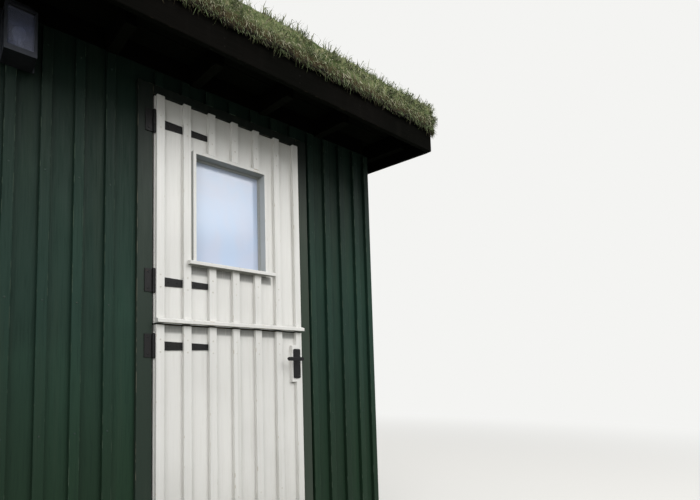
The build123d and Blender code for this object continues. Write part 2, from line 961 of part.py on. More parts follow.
# Wall lantern: plate on a batten, tray, four bars and a sloping cap with a rim
lantern_x = leaf_left - lantern_from_leaf
lantern_bottom = top_leaf_top - lantern_below_leaf_top
lantern_top = lantern_bottom + lantern_height
lantern_back = cladding_half_depth + lantern_plate
lantern_middle = lantern_back + lantern_depth / 2
cage_top = lantern_top - lantern_cap
with BuildPart() as lantern_body:
    with BuildSketch(facing(cladding_half_depth)):
        with Locations((lantern_x, (lantern_bottom + lantern_top) / 2)):
            Rectangle(lantern_plate_width, lantern_height)
    extrude(amount=lantern_plate)
    with BuildSketch(Plane.XY.offset(lantern_bottom)):
        with Locations((lantern_x, -lantern_middle)):
            Rectangle(lantern_width, lantern_depth)
    extrude(amount=lantern_base)
    with BuildSketch(Plane.XY.offset(lantern_bottom + lantern_base)):
        with Locations((lantern_x, -lantern_middle)):
            with GridLocations(lantern_width - lantern_bar, lantern_depth - lantern_bar, 2, 2):
                Rectangle(lantern_bar, lantern_bar)
    extrude(amount=cage_top - lantern_bottom - lantern_base)
    with BuildSketch(Plane.XY.offset(cage_top)):
        with Locations((lantern_x, -lantern_middle)):
            Rectangle(lantern_width, lantern_depth)
    extrude(amount=lantern_rim)
    with BuildSketch(Plane.XY.offset(cage_top + lantern_rim)):
        with Locations((lantern_x, -lantern_middle)):
            Rectangle(lantern_width, lantern_depth)
    with BuildSketch(Plane.XY.offset(lantern_top)):
        with Locations((lantern_x, -lantern_middle)):
            Rectangle(lantern_width * lantern_cap_top, lantern_depth * lantern_cap_top)
    loft()

with BuildPart() as lantern_glass:
    pane_width = lantern_width - 2 * lantern_bar
    pane_depth = lantern_depth - 2 * lantern_bar
    with BuildSketch(Plane.XY.offset(lantern_bottom + lantern_base)):
        with Locations((lantern_x, -lantern_middle)):
            Rectangle(pane_width, pane_depth)
            Rectangle(
                pane_width - 2 * lantern_glass_wall,
                pane_depth - 2 * lantern_glass_wall,
                mode=Mode.SUBTRACT,
            )
    extrude(amount=cage_top - lantern_bottom - lantern_base)

pieces = {
    "runners": runners,
    "rim_joists": rim_joists,
    "floor_joists": floor_joists,
    "floor_deck": floor_deck,
    "base_boards": base_boards,
    "front_wall_left": front_wall_left,
    "front_wall_right": front_wall_right,
    "front_wall_head": front_wall_head,
    "back_wall": back_wall,
    "left_wall": left_wall,
    "right_wall": right_wall,
    "front_battens": front_battens,
    "back_battens": back_battens,
    "left_battens": left_battens,
    "right_battens": right_battens,
    "corner_trims": corner_trims,
    "door_jambs": door_jambs,
    "door_head": door_head,
    "threshold": threshold,
    "ridge_beam": ridge_beam,
    "rafters": rafters,
    "eaves_blocking": eaves_blocking,
    "roof_deck_front": roof_deck_front,
    "roof_deck_back": roof_deck_back,
    "fascia_boards": fascia_boards,
    "verge_boards": verge_boards,
    "turf_front": turf_front,
    "turf_back": turf_back,
    "top_leaf_boards": top_leaf_boards,
    "top_leaf_battens": top_leaf_battens,
    "top_leaf_ledges": top_leaf_ledges,
    "window_frame": window_frame,
    "window_glass": window_glass,
    "weather_bar": weather_bar,
    "top_leaf_straps": top_leaf_straps,
    "bottom_leaf_boards": bottom_leaf_boards,
    "bottom_leaf_battens": bottom_leaf_battens,
    "bottom_leaf_ledges": bottom_leaf_ledges,
    "bottom_leaf_straps": bottom_leaf_straps,
    "hinge_plates": hinge_plates,
    "hinge_pins": hinge_pins,
    "handle_plates": handle_plates,
    "lever": lever,
    "lantern_body": lantern_body,
    "lantern_glass": lantern_glass,
}
for name, piece in pieces.items():
    piece.part.label = name
    export_step(piece.part, f"parts/{name}.step")
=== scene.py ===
"""Camping pod: the finish of its boards, joinery, ironwork, lantern, window and turf roof."""
import logging
import math
from dataclasses import dataclass, field, replace
from enum import Enum
from typing import ClassVar

import bpy
import numpy as np
from mathutils import Matrix, Vector


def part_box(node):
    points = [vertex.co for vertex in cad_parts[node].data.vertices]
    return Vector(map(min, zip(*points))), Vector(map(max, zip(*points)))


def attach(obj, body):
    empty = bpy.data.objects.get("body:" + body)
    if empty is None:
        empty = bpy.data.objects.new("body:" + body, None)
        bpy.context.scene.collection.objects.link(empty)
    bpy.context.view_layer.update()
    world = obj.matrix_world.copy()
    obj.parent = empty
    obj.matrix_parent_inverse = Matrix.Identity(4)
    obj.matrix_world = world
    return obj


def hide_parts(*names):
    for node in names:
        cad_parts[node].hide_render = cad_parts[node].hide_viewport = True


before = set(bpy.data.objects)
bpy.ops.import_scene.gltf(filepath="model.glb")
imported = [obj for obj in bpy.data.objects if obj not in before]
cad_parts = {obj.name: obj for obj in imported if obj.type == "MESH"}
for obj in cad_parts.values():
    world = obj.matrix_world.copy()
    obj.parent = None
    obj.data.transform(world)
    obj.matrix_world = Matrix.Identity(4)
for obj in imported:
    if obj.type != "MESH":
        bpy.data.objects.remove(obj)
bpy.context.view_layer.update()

LOG = logging.getLogger("camping_pod")
Material = bpy.types.Material
Socket = bpy.types.NodeSocket
# Rows is an array with a row or a value for each point, and a Place is also used for a direction
Rows = np.ndarray
Place = tuple[float, float, float]

SLOPE = math.tan(math.radians(5.0))
ON_FACE = 0.0002
MID_WALL = {"X": 1.75, "Y": 1.15}
SAME_FACE = 0.0005
SAME_POINT = 0.00001
ARRIS_ANGLE = math.radians(35)
NOISE_VALUES = 4096
NOISE_PRIMES = (73856093, 19349663, 83492791)
BLADE_MAP = "OFBake"
LEAVES = ("top_leaf", "bottom_leaf")
FRONTWARD = (0, -1, 0)


def linear(hex_colour: str) -> tuple[float, ...]:
    """Turns an sRGB hex colour into Blender's linear colour.

    Args:
        hex_colour: such as "#2A3F33".

    Returns:
        Red, green, blue and alpha.
    """
    shares = [int(hex_colour[k:k + 2], 16) / 255 for k in (1, 3, 5)]
    curved = [s / 12.92 if s <= 0.04045 else ((s + 0.055) / 1.055) ** 2.4 for s in shares]
    return (*curved, 1.0)


def value_noise(points: Rows, cell: float, seed: int) -> Rows:
    """Smooth random heights from -1 to 1.

    Each corner of a grid of cubes draws a value from a seeded table by its whole-number
    place, and a point blends its cube's eight corners by the weight 3t^2 - 2t^3.

    Args:
        points: places, one row each, in metres.
        cell: a cube's side.
        seed: which table is drawn.

    Returns:
        A height for each point.
    """
    table = np.random.default_rng(seed).random(NOISE_VALUES) * 2 - 1
    scaled = points / cell
    corner = np.floor(scaled).astype(np.int64)
    share = scaled - corner
    share = share * share * (3 - 2 * share)
    total = np.zeros(len(points))
    for step in np.ndindex(2, 2, 2):
        key = ((corner + step) * NOISE_PRIMES).sum(axis=1)
        weight = np.where(np.array(step, bool), share, 1 - share).prod(axis=1)
        total += weight * table[(key ^ (key >> 13)) % NOISE_VALUES]
    return total


def unit(vectors: Rows) -> Rows:
    """Each row divided by its length."""
    return vectors / np.maximum(np.linalg.norm(vectors, axis=-1, keepdims=True), 1e-9)


def placed(name: str, data: bpy.types.ID) -> bpy.types.Object:
    """Makes an object and links it to the scene.

    Args:
        name: its name.
        data: its mesh, lamp or camera.

    Returns:
        The object.
    """
    made = bpy.data.objects.new(name, data)
    bpy.context.scene.collection.objects.link(made)
    return made


@dataclass
class Shape:
    """Points with four-sided and three-sided faces, held as whole arrays."""

    points: Rows
    quads: Rows = field(default_factory=lambda: np.zeros((0, 4), int))
    tris: Rows = field(default_factory=lambda: np.zeros((0, 3), int))
    quad_finish: Rows | None = None
    chart: Rows | None = None

    @classmethod
    def joined(cls, shapes: list["Shape"]) -> "Shape":
        """One shape that holds several, each face's numbers moved past the points before it."""
        starts = np.cumsum([0] + [len(s.points) for s in shapes[:-1]])
        return cls(
            np.concatenate([s.points for s in shapes]),
            np.concatenate([s.quads + k for s, k in zip(shapes, starts)]),
            np.concatenate([s.tris + k for s, k in zip(shapes, starts)]),
        )

    @classmethod
    def repeated(cls, points: Rows, quads: Rows, tris: Rows, chart: Rows | None = None) -> "Shape":
        """Copies whose points are the rows of an array, all with the same faces."""
        lift = (np.arange(len(points)) * points.shape[1])[:, None, None]
        return cls(points.reshape(-1, 3), (quads[None] + lift).reshape(-1, 4),
                   (tris[None] + lift).reshape(-1, 3),
                   chart=None if chart is None else chart.reshape(-1, 2))

    def copied(self, places: Rows) -> "Shape":
        """The shape at each place: point p of copy c is p plus place c."""
        return Shape.repeated(self.points[None] + places[:, None], self.quads, self.tris)

    def turned(self, axes: Rows) -> "Shape":
        """The shape with its own three directions laid along the rows of axes."""
        return Shape(self.points @ axes, self.quads, self.tris, self.quad_finish, self.chart)

    def mesh(self, name: str, smooth: bool) -> bpy.types.Mesh:
        """Puts the arrays into a Blender mesh, without points that no face uses.

        Args:
            name: the mesh's name.
            smooth: whether its faces shade as one surface.

        Returns:
            The mesh.
        """
        corners = np.concatenate([self.quads.ravel(), self.tris.ravel()])
        used, corners = np.unique(corners, return_inverse=True)
        sides = np.repeat([4, 3], [len(self.quads), len(self.tris)])
        made = bpy.data.meshes.new(name)
        made.vertices.add(len(used))
        made.vertices.foreach_set("co", self.points[used].astype(np.float32).ravel())
        made.loops.add(len(corners))
        made.loops.foreach_set("vertex_index", corners.astype(np.int32))
        made.polygons.add(len(sides))
        made.polygons.foreach_set("loop_start", (np.cumsum(sides) - sides).astype(np.int32))
        made.polygons.foreach_set("use_smooth", np.full(len(sides), smooth))
        if self.quad_finish is not None:
            made.polygons.foreach_set("material_index", self.quad_finish.astype(np.int32))
        if self.chart is not None:
            layer = made.uv_layers.new(name=BLADE_MAP)
            layer.data.foreach_set("uv", self.chart[used][corners].astype(np.float32).ravel())
        made.update(calc_edges=True)
        made.validate()
        return made


def stitched(face: Rows, back: Rows, solid: Rows) -> Shape:
    """A closed slab between two sheets of one grid, whose inner faces take the second finish.

    Each solid cell gives a face on both sheets, and wherever a solid cell borders on an empty
    one or on the rim, a face joins the two sheets along that edge.

    Args:
        face: the outer sheet's points, rows by columns by 3, anticlockwise from outside.
        back: the inner sheet's points, in the same order.
        solid: which cells are there, one fewer each way than the points.

    Returns:
        The slab.
    """
    rows, columns = solid.shape
    number = np.arange((rows + 1) * (columns + 1)).reshape(rows + 1, columns + 1)
    outer = [number[:-1, :-1], number[:-1, 1:], number[1:, 1:], number[1:, :-1]]
    inner = [corner + number.size for corner in outer]
    ringed = np.pad(solid, 1)
    neighbours = [ringed[:-2, 1:-1], ringed[1:-1, 2:], ringed[2:, 1:-1], ringed[1:-1, :-2]]
    faces = np.stack(outer, -1)[solid]
    backs = np.stack(inner[::-1], -1)[solid]
    sides = [
        np.stack([inner[k], inner[(k + 1) % 4], outer[(k + 1) % 4], outer[k]], -1)[solid & ~beside]
        for k, beside in enumerate(neighbours)
    ]
    quads = np.concatenate([faces, backs, *sides])
    finish = np.zeros(len(quads), int)
    finish[len(faces):len(faces) + len(backs)] = 1
    return Shape(np.concatenate([face.reshape(-1, 3), back.reshape(-1, 3)]), quads, quad_finish=finish)


def revolved(profile: Rows, sides: int) -> Shape:
    """A profile turned about the third axis.

    Point j of ring i is (r cos t, r sin t, h), where r and h are the profile's row i and t is
    j turns over the number of sides. A point at each pole closes the shape.

    Args:
        profile: radius and height, one row each, from axis to axis.
        sides: how many points a ring has.

    Returns:
        The closed shape.
    """
    turn = np.arange(sides) * 2 * np.pi / sides
    radius, height = profile[1:-1, :1], profile[1:-1, 1:]
    ring = np.stack([radius * np.cos(turn), radius * np.sin(turn), np.repeat(height, sides, axis=1)],
                    -1).reshape(-1, 3)
    poles = np.array([[0, 0, profile[0, 1]], [0, 0, profile[-1, 1]]])
    number = np.arange(len(ring)).reshape(-1, sides)
    after = np.roll(number, -1, axis=1)
    quads = np.stack([number[:-1], after[:-1], after[1:], number[1:]], -1).reshape(-1, 4)
    start = np.stack([after[0], number[0], np.full(sides, len(ring))], -1)
    end = np.stack([number[-1], after[-1], np.full(sides, len(ring) + 1)], -1)
    return Shape(np.concatenate([ring, poles]), quads, np.concatenate([start, end]))


class Graph:
    """The node tree of a material or of the world, filled by one add function."""

    def __init__(self, owner: Material | bpy.types.World) -> None:
        """Empties the owner's tree.

        Args:
            owner: the material or the world.
        """
        self.owner = owner
        owner.use_nodes = True
        self.tree = owner.node_tree
        self.tree.nodes.clear()

    def add(self, kind: str, inputs: dict | None = None, **settings: object) -> bpy.types.Node:
        """Adds a node.

        Args:
            kind: the node's type without its ShaderNode prefix.
            inputs: socket name or number to a value, a hex colour, or a socket to link.
            settings: the node's own properties.

        Returns:
            The node.
        """
        node = self.tree.nodes.new("ShaderNode" + kind)
        for key, value in settings.items():
            setattr(node, key, value)
        for key, value in (inputs or {}).items():
            if isinstance(value, Socket):
                self.tree.links.new(value, node.inputs[key])
            else:
                node.inputs[key].default_value = linear(value) if isinstance(value, str) else value
        return node

    def cover(self, shade: str | Socket, value: Socket, start: float, full: float, tone: str,
              top: float = 1.0) -> Socket:
        """Lays a tone over a shade as a value runs from start to full.

        Args:
            shade: the colour underneath.
            value: what decides where the tone lies.
            start: the value at which the tone begins to show.
            full: the value at which it shows most.
            tone: the colour that is laid over.
            top: its share where it shows most.

        Returns:
            The mixed colour.
        """
        share = self.add("MapRange", {"Value": value, "From Min": start, "From Max": full, "To Max": top},
                         interpolation_type="SMOOTHSTEP").outputs[0]
        return self.add("Mix", {0: share, 6: shade, 7: tone}, data_type="RGBA").outputs[2]

    def below(self) -> Socket:
        """Up to 0.9 on faces that look down."""
        way = self.add("SeparateXYZ", {"Vector": self.add("TexCoord").outputs["Normal"]}).outputs
        return self.add("MapRange", {"Value": way["Z"], "From Min": -0.35, "From Max": -0.75,
                                     "To Max": 0.9}).outputs[0]

    def seen(self) -> Socket:
        """Tells rays that look from rays that only carry light.

        Returns:
            1 where the eye, a gloss or a pane looks, and 0 where light only bounces.
        """
        rays = self.add("LightPath").outputs
        either = self.add("Math", {0: rays["Is Camera Ray"], 1: rays["Is Glossy Ray"]}, operation="MAXIMUM")
        return self.add("Math", {0: either.outputs[0], 1: rays["Is Transmission Ray"]},
                        operation="MAXIMUM").outputs[0]

    def finished(self, shader: Socket) -> Material | bpy.types.World:
        """Links a shader to the output.

        Args:
            shader: what the owner shows.

        Returns:
            The owner.
        """
        kind = "OutputWorld" if isinstance(self.owner, bpy.types.World) else "OutputMaterial"
        self.add(kind, {"Surface": shader})
        return self.owner

    def surface(self, colour: Socket, rough: float | Socket, sheen: float = 0.5,
                relief: tuple[Socket, float, float] | None = None, **more: float) -> Material:
        """Ends a material in one surface.

        Args:
            colour: its colour.
            rough: its roughness.
            sheen: its specular level.
            relief: a height with its strength and its depth in metres, or none.
            more: other inputs of the surface.

        Returns:
            The material.
        """
        inputs = {"Base Color": colour, "Roughness": rough, "Specular IOR Level": sheen, **more}
        if relief:
            bump = dict(zip(("Height", "Strength", "Distance"), relief))
            inputs["Normal"] = self.add("Bump", bump).outputs[0]
        return self.finished(self.add("BsdfPrincipled", inputs).outputs[0])


class Run(Enum):
    """Which axis boards run along, and which axis they lie side by side along."""

    UPRIGHT_BY_X = ("Z", "X")
    UPRIGHT_BY_Y = ("Z", "Y")
    LENGTHWISE_BY_Y = ("X", "Y")
    LENGTHWISE_BY_Z = ("X", "Z")
    CROSSWISE_BY_X = ("Y", "X")


@dataclass(frozen=True)
class Patch:
    """An area of another tone that comes in along one axis and stops at straight limits."""

    tone: str
    axis: str
    start: float
    full: float
    limits: tuple[tuple[str, float, float], ...] = ()
    strength: float = 1.0

    def laid(self, graph: Graph, axes: bpy.types.NodeOutputs, shade: Socket) -> Socket:
        """Mixes the tone over a shade.

        Args:
            graph: the nodes to add to.
            axes: the place's three coordinates.
            shade: the colour underneath.

        Returns:
            The mixed colour.
        """
        share = graph.add("MapRange", {"Value": axes[self.axis], "From Min": self.start,
                                       "From Max": self.full, "To Max": self.strength},
                          interpolation_type="SMOOTHSTEP").outputs[0]
        for name, low, high in self.limits:
            within = graph.add("Math", {0: axes[name], 1: (low + high) / 2, 2: (high - low) / 2},
                               operation="COMPARE").outputs[0]
            share = graph.add("Math", {0: share, 1: within}, operation="MULTIPLY").outputs[0]
        return graph.add("Mix", {0: share, 6: shade, 7: self.tone}, data_type="RGBA").outputs[2]


class Finish:
    """A finish that is built once and kept under its name."""

    name: str
    made: ClassVar[dict[str, Material]] = {}

    def build(self) -> Material:
        """Makes the material."""
        raise NotImplementedError

    @property
    def material(self) -> Material:
        """Builds the material when it is first asked for.

        Returns:
            The material.
        """
        if self.name not in self.made:
            self.made[self.name] = self.build()
        return self.made[self.name]

    def graph(self) -> Graph:
        """An empty node tree in a new material of the finish's name."""
        return Graph(bpy.data.materials.new(self.name))


@dataclass(frozen=True)
class TimberFinish(Finish):
    """Softwood boards under stain, paint or nothing, with grain, board tones and weather.

    Worn is the share of the surface rubbed to bare wood, used on arrises. Under is the colour of faces that
    look down, mostly a painted shade, and recess a painted shade in a window's reveal.
    """

    name: str
    coat: str
    faded: str
    grain: str
    grime: str
    bare: str
    under: str
    run: Run = Run.UPRIGHT_BY_X
    board: float = 0.124
    phase: float = 0.0
    grain_width: float = 0.005
    grain_length: float = 0.16
    grain_show: float = 0.35
    tone_spread: float = 0.08
    streaks: float = 0.25
    splash_height: float = 0.45
    splash: float = 0.4
    roughness: float = 0.5
    relief: float = 0.0006
    sheen: float = 0.3
    knots: float = 0.0
    knot_tone: str = "#4A2C18"
    recess: tuple[str, float] | None = None
    areas: tuple[Patch, ...] = ()
    indoors: tuple[str, str] | None = None
    worn: float = 0.0

    def build(self) -> Material:
        """Makes the material.

        Returns:
            The material, patterned in object coordinates.
        """
        graph = self.graph()
        add = graph.add
        along, beside = self.run.value
        place = add("TexCoord").outputs["Object"]
        axis = add("SeparateXYZ", {"Vector": place}).outputs

        # Each board draws its own tone and its own stretch of grain
        count = add("Math", {0: axis[beside], 1: 1 / self.board, 2: self.phase},
                    operation="MULTIPLY_ADD").outputs[0]
        board = add("Math", {0: count}, operation="FLOOR").outputs[0]
        chance = add("TexWhiteNoise", {"W": board}, noise_dimensions="1D").outputs
        moved = add("VectorMath", {0: chance["Color"], 1: (9.0, 9.0, 9.0), 2: place},
                    operation="MULTIPLY_ADD").outputs[0]
        fine, long = 1 / self.grain_width, 1 / self.grain_length
        grain_scale = tuple(long if name == along else fine for name in "XYZ")
        grain_space, run_space = (
            add("VectorMath", {0: moved, 1: scale}, operation="MULTIPLY").outputs[0]
            for scale in (grain_scale, (26.0, 26.0, 1.1)))
        grain = add("TexNoise", {"Vector": grain_space, "Scale": 1.0, "Detail": 5.0,
                                 "Roughness": 0.62, "Distortion": 0.35}).outputs[0]
        lines = add("MapRange", {"Value": grain, "From Min": 0.5, "From Max": 0.68,
                                 "To Max": self.grain_show}, interpolation_type="SMOOTHSTEP").outputs[0]

        # Weather: broad fading, runs of rain down the boards and splashed soil at the foot
        broad, patches = (
            add("TexNoise", {"Vector": place, "Scale": scale, "Detail": detail}).outputs[0]
            for scale, detail in ((1.7, 3.0), (21.0, 5.0)))
        runs = add("TexNoise", {"Vector": run_space, "Scale": 1.0, "Detail": 4.0}).outputs[0]
        low = add("MapRange", {"Value": axis["Z"], "From Min": self.splash_height, "From Max": 0.1},
                  interpolation_type="SMOOTHSTEP").outputs[0]
        wet = add("Math", {0: low, 1: patches}, operation="MULTIPLY").outputs[0]
        soil = add("Math", {0: wet, 1: self.splash * 2}, operation="MULTIPLY", use_clamp=True).outputs[0]

        shade = graph.cover(self.coat, broad, 0.42, 0.66, self.faded)
        for area in self.areas:
            shade = area.laid(graph, axis, shade)
        shade = add("Mix", {0: lines, 6: shade, 7: self.grain}, data_type="RGBA").outputs[2]
        if self.knots:
            knot_scale = tuple(2.2 if name == along else 9.0 for name in "XYZ")
            knot_space = add("VectorMath", {0: moved, 1: knot_scale}, operation="MULTIPLY").outputs[0]
            knot = add("TexVoronoi", {"Vector": knot_space, "Scale": 1.0}).outputs["Distance"]
            shade = graph.cover(shade, knot, 0.11, 0.07, self.knot_tone, self.knots)
        shade = graph.cover(shade, runs, 0.52, 0.72, self.grime, self.streaks)

        # Faces that look down take the under colour: on most finishes a darker painted shade, with some dust
        # and mildew that rain leaves there
        below = graph.below()
        for share, tone in ((soil, self.grime), (below, self.under)):
            shade = add("Mix", {0: share, 6: shade, 7: tone}, data_type="RGBA").outputs[2]
        # Faces set back in the window's reveal take the recess colour as painted shade
        if self.recess:
            tone, face_y = self.recess
            deep = add("MapRange", {"Value": axis["Y"], "From Min": face_y + 0.001,
                                    "From Max": face_y + 0.004}).outputs[0]
            inner = add("Math", {0: deep, 1: below}, operation="SUBTRACT", use_clamp=True).outputs[0]
            shade = add("Mix", {0: inner, 6: shade, 7: tone}, data_type="RGBA").outputs[2]
        if self.worn:
            shift = self.worn * 0.2
            shade = graph.cover(shade, patches, 0.62 - shift, 0.72 - shift, self.bare)
        if self.indoors:
            # Between the walls the timber was left as sawn, so it shows its own colour and grain
            plain, darker = self.indoors
            sides = []
            for name, wall in MID_WALL.items():
                away = add("Math", {0: axis[name]}, operation="ABSOLUTE").outputs[0]
                sides.append(add("Math", {0: away, 1: wall}, operation="LESS_THAN").outputs[0])
            within = add("Math", dict(enumerate(sides)), operation="MULTIPLY").outputs[0]
            sawn = add("Mix", {0: lines, 6: plain, 7: darker}, data_type="RGBA").outputs[2]
            shade = add("Mix", {0: within, 6: shade, 7: sawn}, data_type="RGBA").outputs[2]
        value = add("MapRange", {"Value": chance["Value"], "To Min": 1 - self.tone_spread,
                                 "To Max": 1 + self.tone_spread}).outputs[0]
        toned = add("HueSaturation", {"Color": shade, "Value": value}).outputs[0]
        rough = add("MapRange", {"Value": grain, "From Min": 0.3, "From Max": 0.7,
                                 "To Min": self.roughness - 0.07, "To Max": self.roughness + 0.13}).outputs[0]
        return graph.surface(toned, rough, self.sheen, (grain, 0.7, self.relief))


@dataclass(frozen=True)
class CoatedMetal(Finish):
    """Steel or cast alloy under a black or grey coat, chipped to rust or bare metal in spots."""

    name: str
    coat: str
    dust: str
    chip: str
    chips: float
    roughness: float
    lumps: float
    sheen: float = 0.3
    under: str | None = None

    def build(self) -> Material:
        """Makes the material, with dust in patches, small chips and a slightly lumpy coat.

        Returns:
            The material.
        """
        graph = self.graph()
        add = graph.add
        place = add("TexCoord").outputs["Object"]
        haze, specks = (add("TexNoise", {"Vector": place, "Scale": scale, "Detail": detail}).outputs[0]
                        for scale, detail in ((38.0, 4.0), (230.0, 3.0)))
        shade = graph.cover(self.coat, haze, 0.45, 0.75, self.dust, 0.5)
        shade = graph.cover(shade, specks, 0.74 - self.chips, 0.78 - self.chips, self.chip)
        if self.under:
            # Faces that look down take the under colour as painted shade
            shade = add("Mix", {0: graph.below(), 6: shade, 7: self.under}, data_type="RGBA").outputs[2]
        rough = add("MapRange", {"Value": haze, "From Min": 0.3, "From Max": 0.7,
                                 "To Min": self.roughness - 0.08, "To Max": self.roughness + 0.14}).outputs[0]
        return graph.surface(shade, rough, self.sheen, (specks, 0.5, self.lumps))


@dataclass(frozen=True)
class GlassFinish(Finish):
    """Drawn sheet glass: clear, or misted and pale sky blue, the blue a painted reflection of the sky."""

    name: str
    tint: str
    cloud: str
    clear: float
    roughness: float

    def build(self) -> Material:
        """Makes the material, whose film changes softly over the pane.

        Returns:
            The material.
        """
        graph = self.graph()
        place = graph.add("TexCoord").outputs["Object"]
        film = graph.add("TexNoise", {"Vector": place, "Scale": 5.0, "Detail": 2.0,
                                      "Distortion": 0.6}).outputs[0]
        # On the window the tint and the film's paler tone are painted reflections of sky and clouds; on the
        # lantern the film is dust
        shade = graph.cover(self.tint, film, 0.35, 0.65, self.cloud)
        return graph.surface(shade, self.roughness, **{"IOR": 1.52, "Transmission Weight": self.clear})


@dataclass(frozen=True)
class SodFinish(Finish):
    """Moss and grass mat over peaty soil: green on top, straw and roots down its cut edge."""

    name: str = "moss_and_soil_sod"
    moss: str = "#44522C"
    olive: str = "#67724A"
    straw: str = "#979470"
    root: str = "#3F3722"
    soil: str = "#17130B"

    def build(self) -> Material:
        """Makes the material. The mesh attribute face_share runs from 0 on top to 1 at the foot.

        Returns:
            The material.
        """
        graph = self.graph()
        add = graph.add
        place = add("TexCoord").outputs["Object"]
        patch = add("TexNoise", {"Vector": place, "Scale": 3.2, "Detail": 4.0}).outputs[0]
        tuft = add("TexNoise", {"Vector": place, "Scale": 60.0, "Detail": 5.0, "Roughness": 0.7}).outputs[0]
        down = add("Attribute", attribute_name="face_share").outputs["Fac"]
        ragged = add("Math", {0: tuft, 1: 0.5, 2: down}, operation="MULTIPLY_ADD").outputs[0]
        shade = self.moss
        for layer in ((patch, 0.42, 0.6, self.olive), (tuft, 0.45, 0.68, self.straw),
                      (ragged, 0.86, 1.08, self.root), (ragged, 1.08, 1.24, self.soil)):
            shade = graph.cover(shade, *layer)
        return graph.surface(shade, 0.95, 0.2, (tuft, 1.0, 0.012))


@dataclass(frozen=True)
class BladeFinish(Finish):
    """Grass blades, moss stalks and roots: the chart's first axis is the tone, the second the height."""

    name: str = "grass_and_straw"
    tones: tuple[str, ...] = ("#241F15", "#49432F", "#525F3C", "#77855D", "#A1A384", "#C8C3A9")

    def build(self) -> Material:
        """Makes the material: a ramp of tones, each blade darkened at its root as painted shade and lightened
        at its tip as painted light.

        Returns:
            The material.
        """
        graph = self.graph()
        chart = graph.add("SeparateXYZ", {"Vector": graph.add("UVMap", uv_map=BLADE_MAP).outputs[0]}).outputs
        tones = graph.add("ValToRGB", {"Fac": chart["X"]})
        stops = tones.color_ramp.elements
        while len(stops) < len(self.tones):
            stops.new(0.5)
        for number, tone in enumerate(self.tones):
            stops[number].position = number / (len(self.tones) - 1)
            stops[number].color = linear(tone)
        # By the chart's height: painted shade low on each blade, painted light at its tip
        light = graph.add("MapRange", {"Value": chart["Y"], "To Min": 0.5, "To Max": 1.3}).outputs[0]
        shade = graph.add("HueSaturation", {"Color": tones.outputs[0], "Value": light})
        return graph.surface(shade.outputs[0], 0.75, 0.25)


@dataclass(frozen=True)
class PlainFinish(Finish):
    """Small plain things such as putty, a lamp or a keyhole, with a fine mottle."""

    name: str
    coat: str
    mottle: str
    roughness: float

    def build(self) -> Material:
        """Makes the material: two close shades mixed by fine noise.

        Returns:
            The material.
        """
        graph = self.graph()
        place = graph.add("TexCoord").outputs["Object"]
        noise = graph.add("TexNoise", {"Vector": place, "Scale": 90.0, "Detail": 3.0}).outputs[0]
        shade = graph.add("Mix", {0: noise, 6: self.coat, 7: self.mottle}, data_type="RGBA").outputs[2]
        return graph.surface(shade, self.roughness, relief=(noise, 0.3, 0.0003))


# Opaque woodstain on sawn spruce: dark, slightly bloomed, with the saw's ribs and raised grain,
# darkened close under the eaves as painted shade, and mossy near the foot
GREEN = dict(coat="#182F26", faded="#1E372C", grain="#0F1F19", grime="#28362A", bare="#3A493C",
             under="#101B16", roughness=0.6, sheen=0.17,
             areas=(Patch("#182D1E", "Z", 1.4, 0.5), Patch("#0C1C15", "Z", 1.4, 2.25)))
# Satin gloss paint on planed joinery: smooth, chalky off-white, grey where dirt is held, and darker grey on
# its undersides as painted shade
WHITE = dict(coat="#E0DFDB", faded="#D9D8D4", grain="#CFCCC5", grime="#ACABA0", bare="#B5AA96",
             under="#83847D", roughness=0.42, sheen=0.4)
# The same paint in grey-green on the door frame, with painted shade on the hinge-side jamb and darker towards
# its head as painted shade under the eaves
SAGE = dict(coat="#2F3A30", faded="#373F36", grain="#232925", grime="#3C4238", bare="#545347",
            under="#20251F", roughness=0.5, sheen=0.2,
            areas=(Patch("#202C24", "X", 1.0, 0.5), Patch("#171D19", "Z", 1.7, 2.3)))
# Black-brown stain on roof timber, its near black partly the stain and partly painted shade for the soffit and
# fascia under the eaves
TARRED = dict(coat="#080806", faded="#0C0B09", grain="#060605", grime="#151411", bare="#221F19",
              under="#11130E", roughness=0.9, sheen=0.02, indoors=("#B59263", "#7E5B36"), splash=0.0)
# Pressure-treated softwood, greened by copper salts and greyed outdoors
TREATED = dict(coat="#6A6449", faded="#7B735A", grain="#4A432E", grime="#3B3626", bare="#8B8064",
               under="#3F3A2A")
# Planed pine, oiled, gone honey-coloured indoors
PINE = dict(coat="#BE9763", faded="#CDA873", grain="#9A6F3E", grime="#8D6A43", bare="#D8BC8C",
            under="#A67F4E", splash=0.0)

# Paint brushed on steel: black with soft highlights, and rust where it has chipped
BLACK_STEEL = CoatedMetal("black_painted_steel", "#0C0C0D", "#1A1A19", "#3E2617", 0.05, 0.45, 0.0003, 0.22)
# Powder coat on cast alloy: an even, dusty grey, with black painted shade on its undersides
GREY_COAT = CoatedMetal("powder_coated_alloy", "#34373E", "#474A50", "#66686C", 0.02, 0.5, 0.0002, 0.25,
                        "#08090A")
# Heads painted or stained over with their boards, and bare steel ones in the floor
ZINC_HEADS = CoatedMetal("stain_covered_screws", "#152A22", "#22332A", "#4A3D2C", 0.1, 0.5, 0.0002)
WHITE_HEADS = CoatedMetal("paint_covered_screws", "#D2D0C8", "#B9B6AA", "#8A6A4A", 0.08, 0.5, 0.0002)
DARK_HEADS = CoatedMetal("dark_stained_nails", "#0B0A08", "#14120E", "#2A1C12", 0.1, 0.8, 0.0002, 0.05)
BRIGHT_HEADS = CoatedMetal("floor_screws", "#8A877E", "#6B675C", "#B9B7AE", 0.1, 0.45, 0.0001)
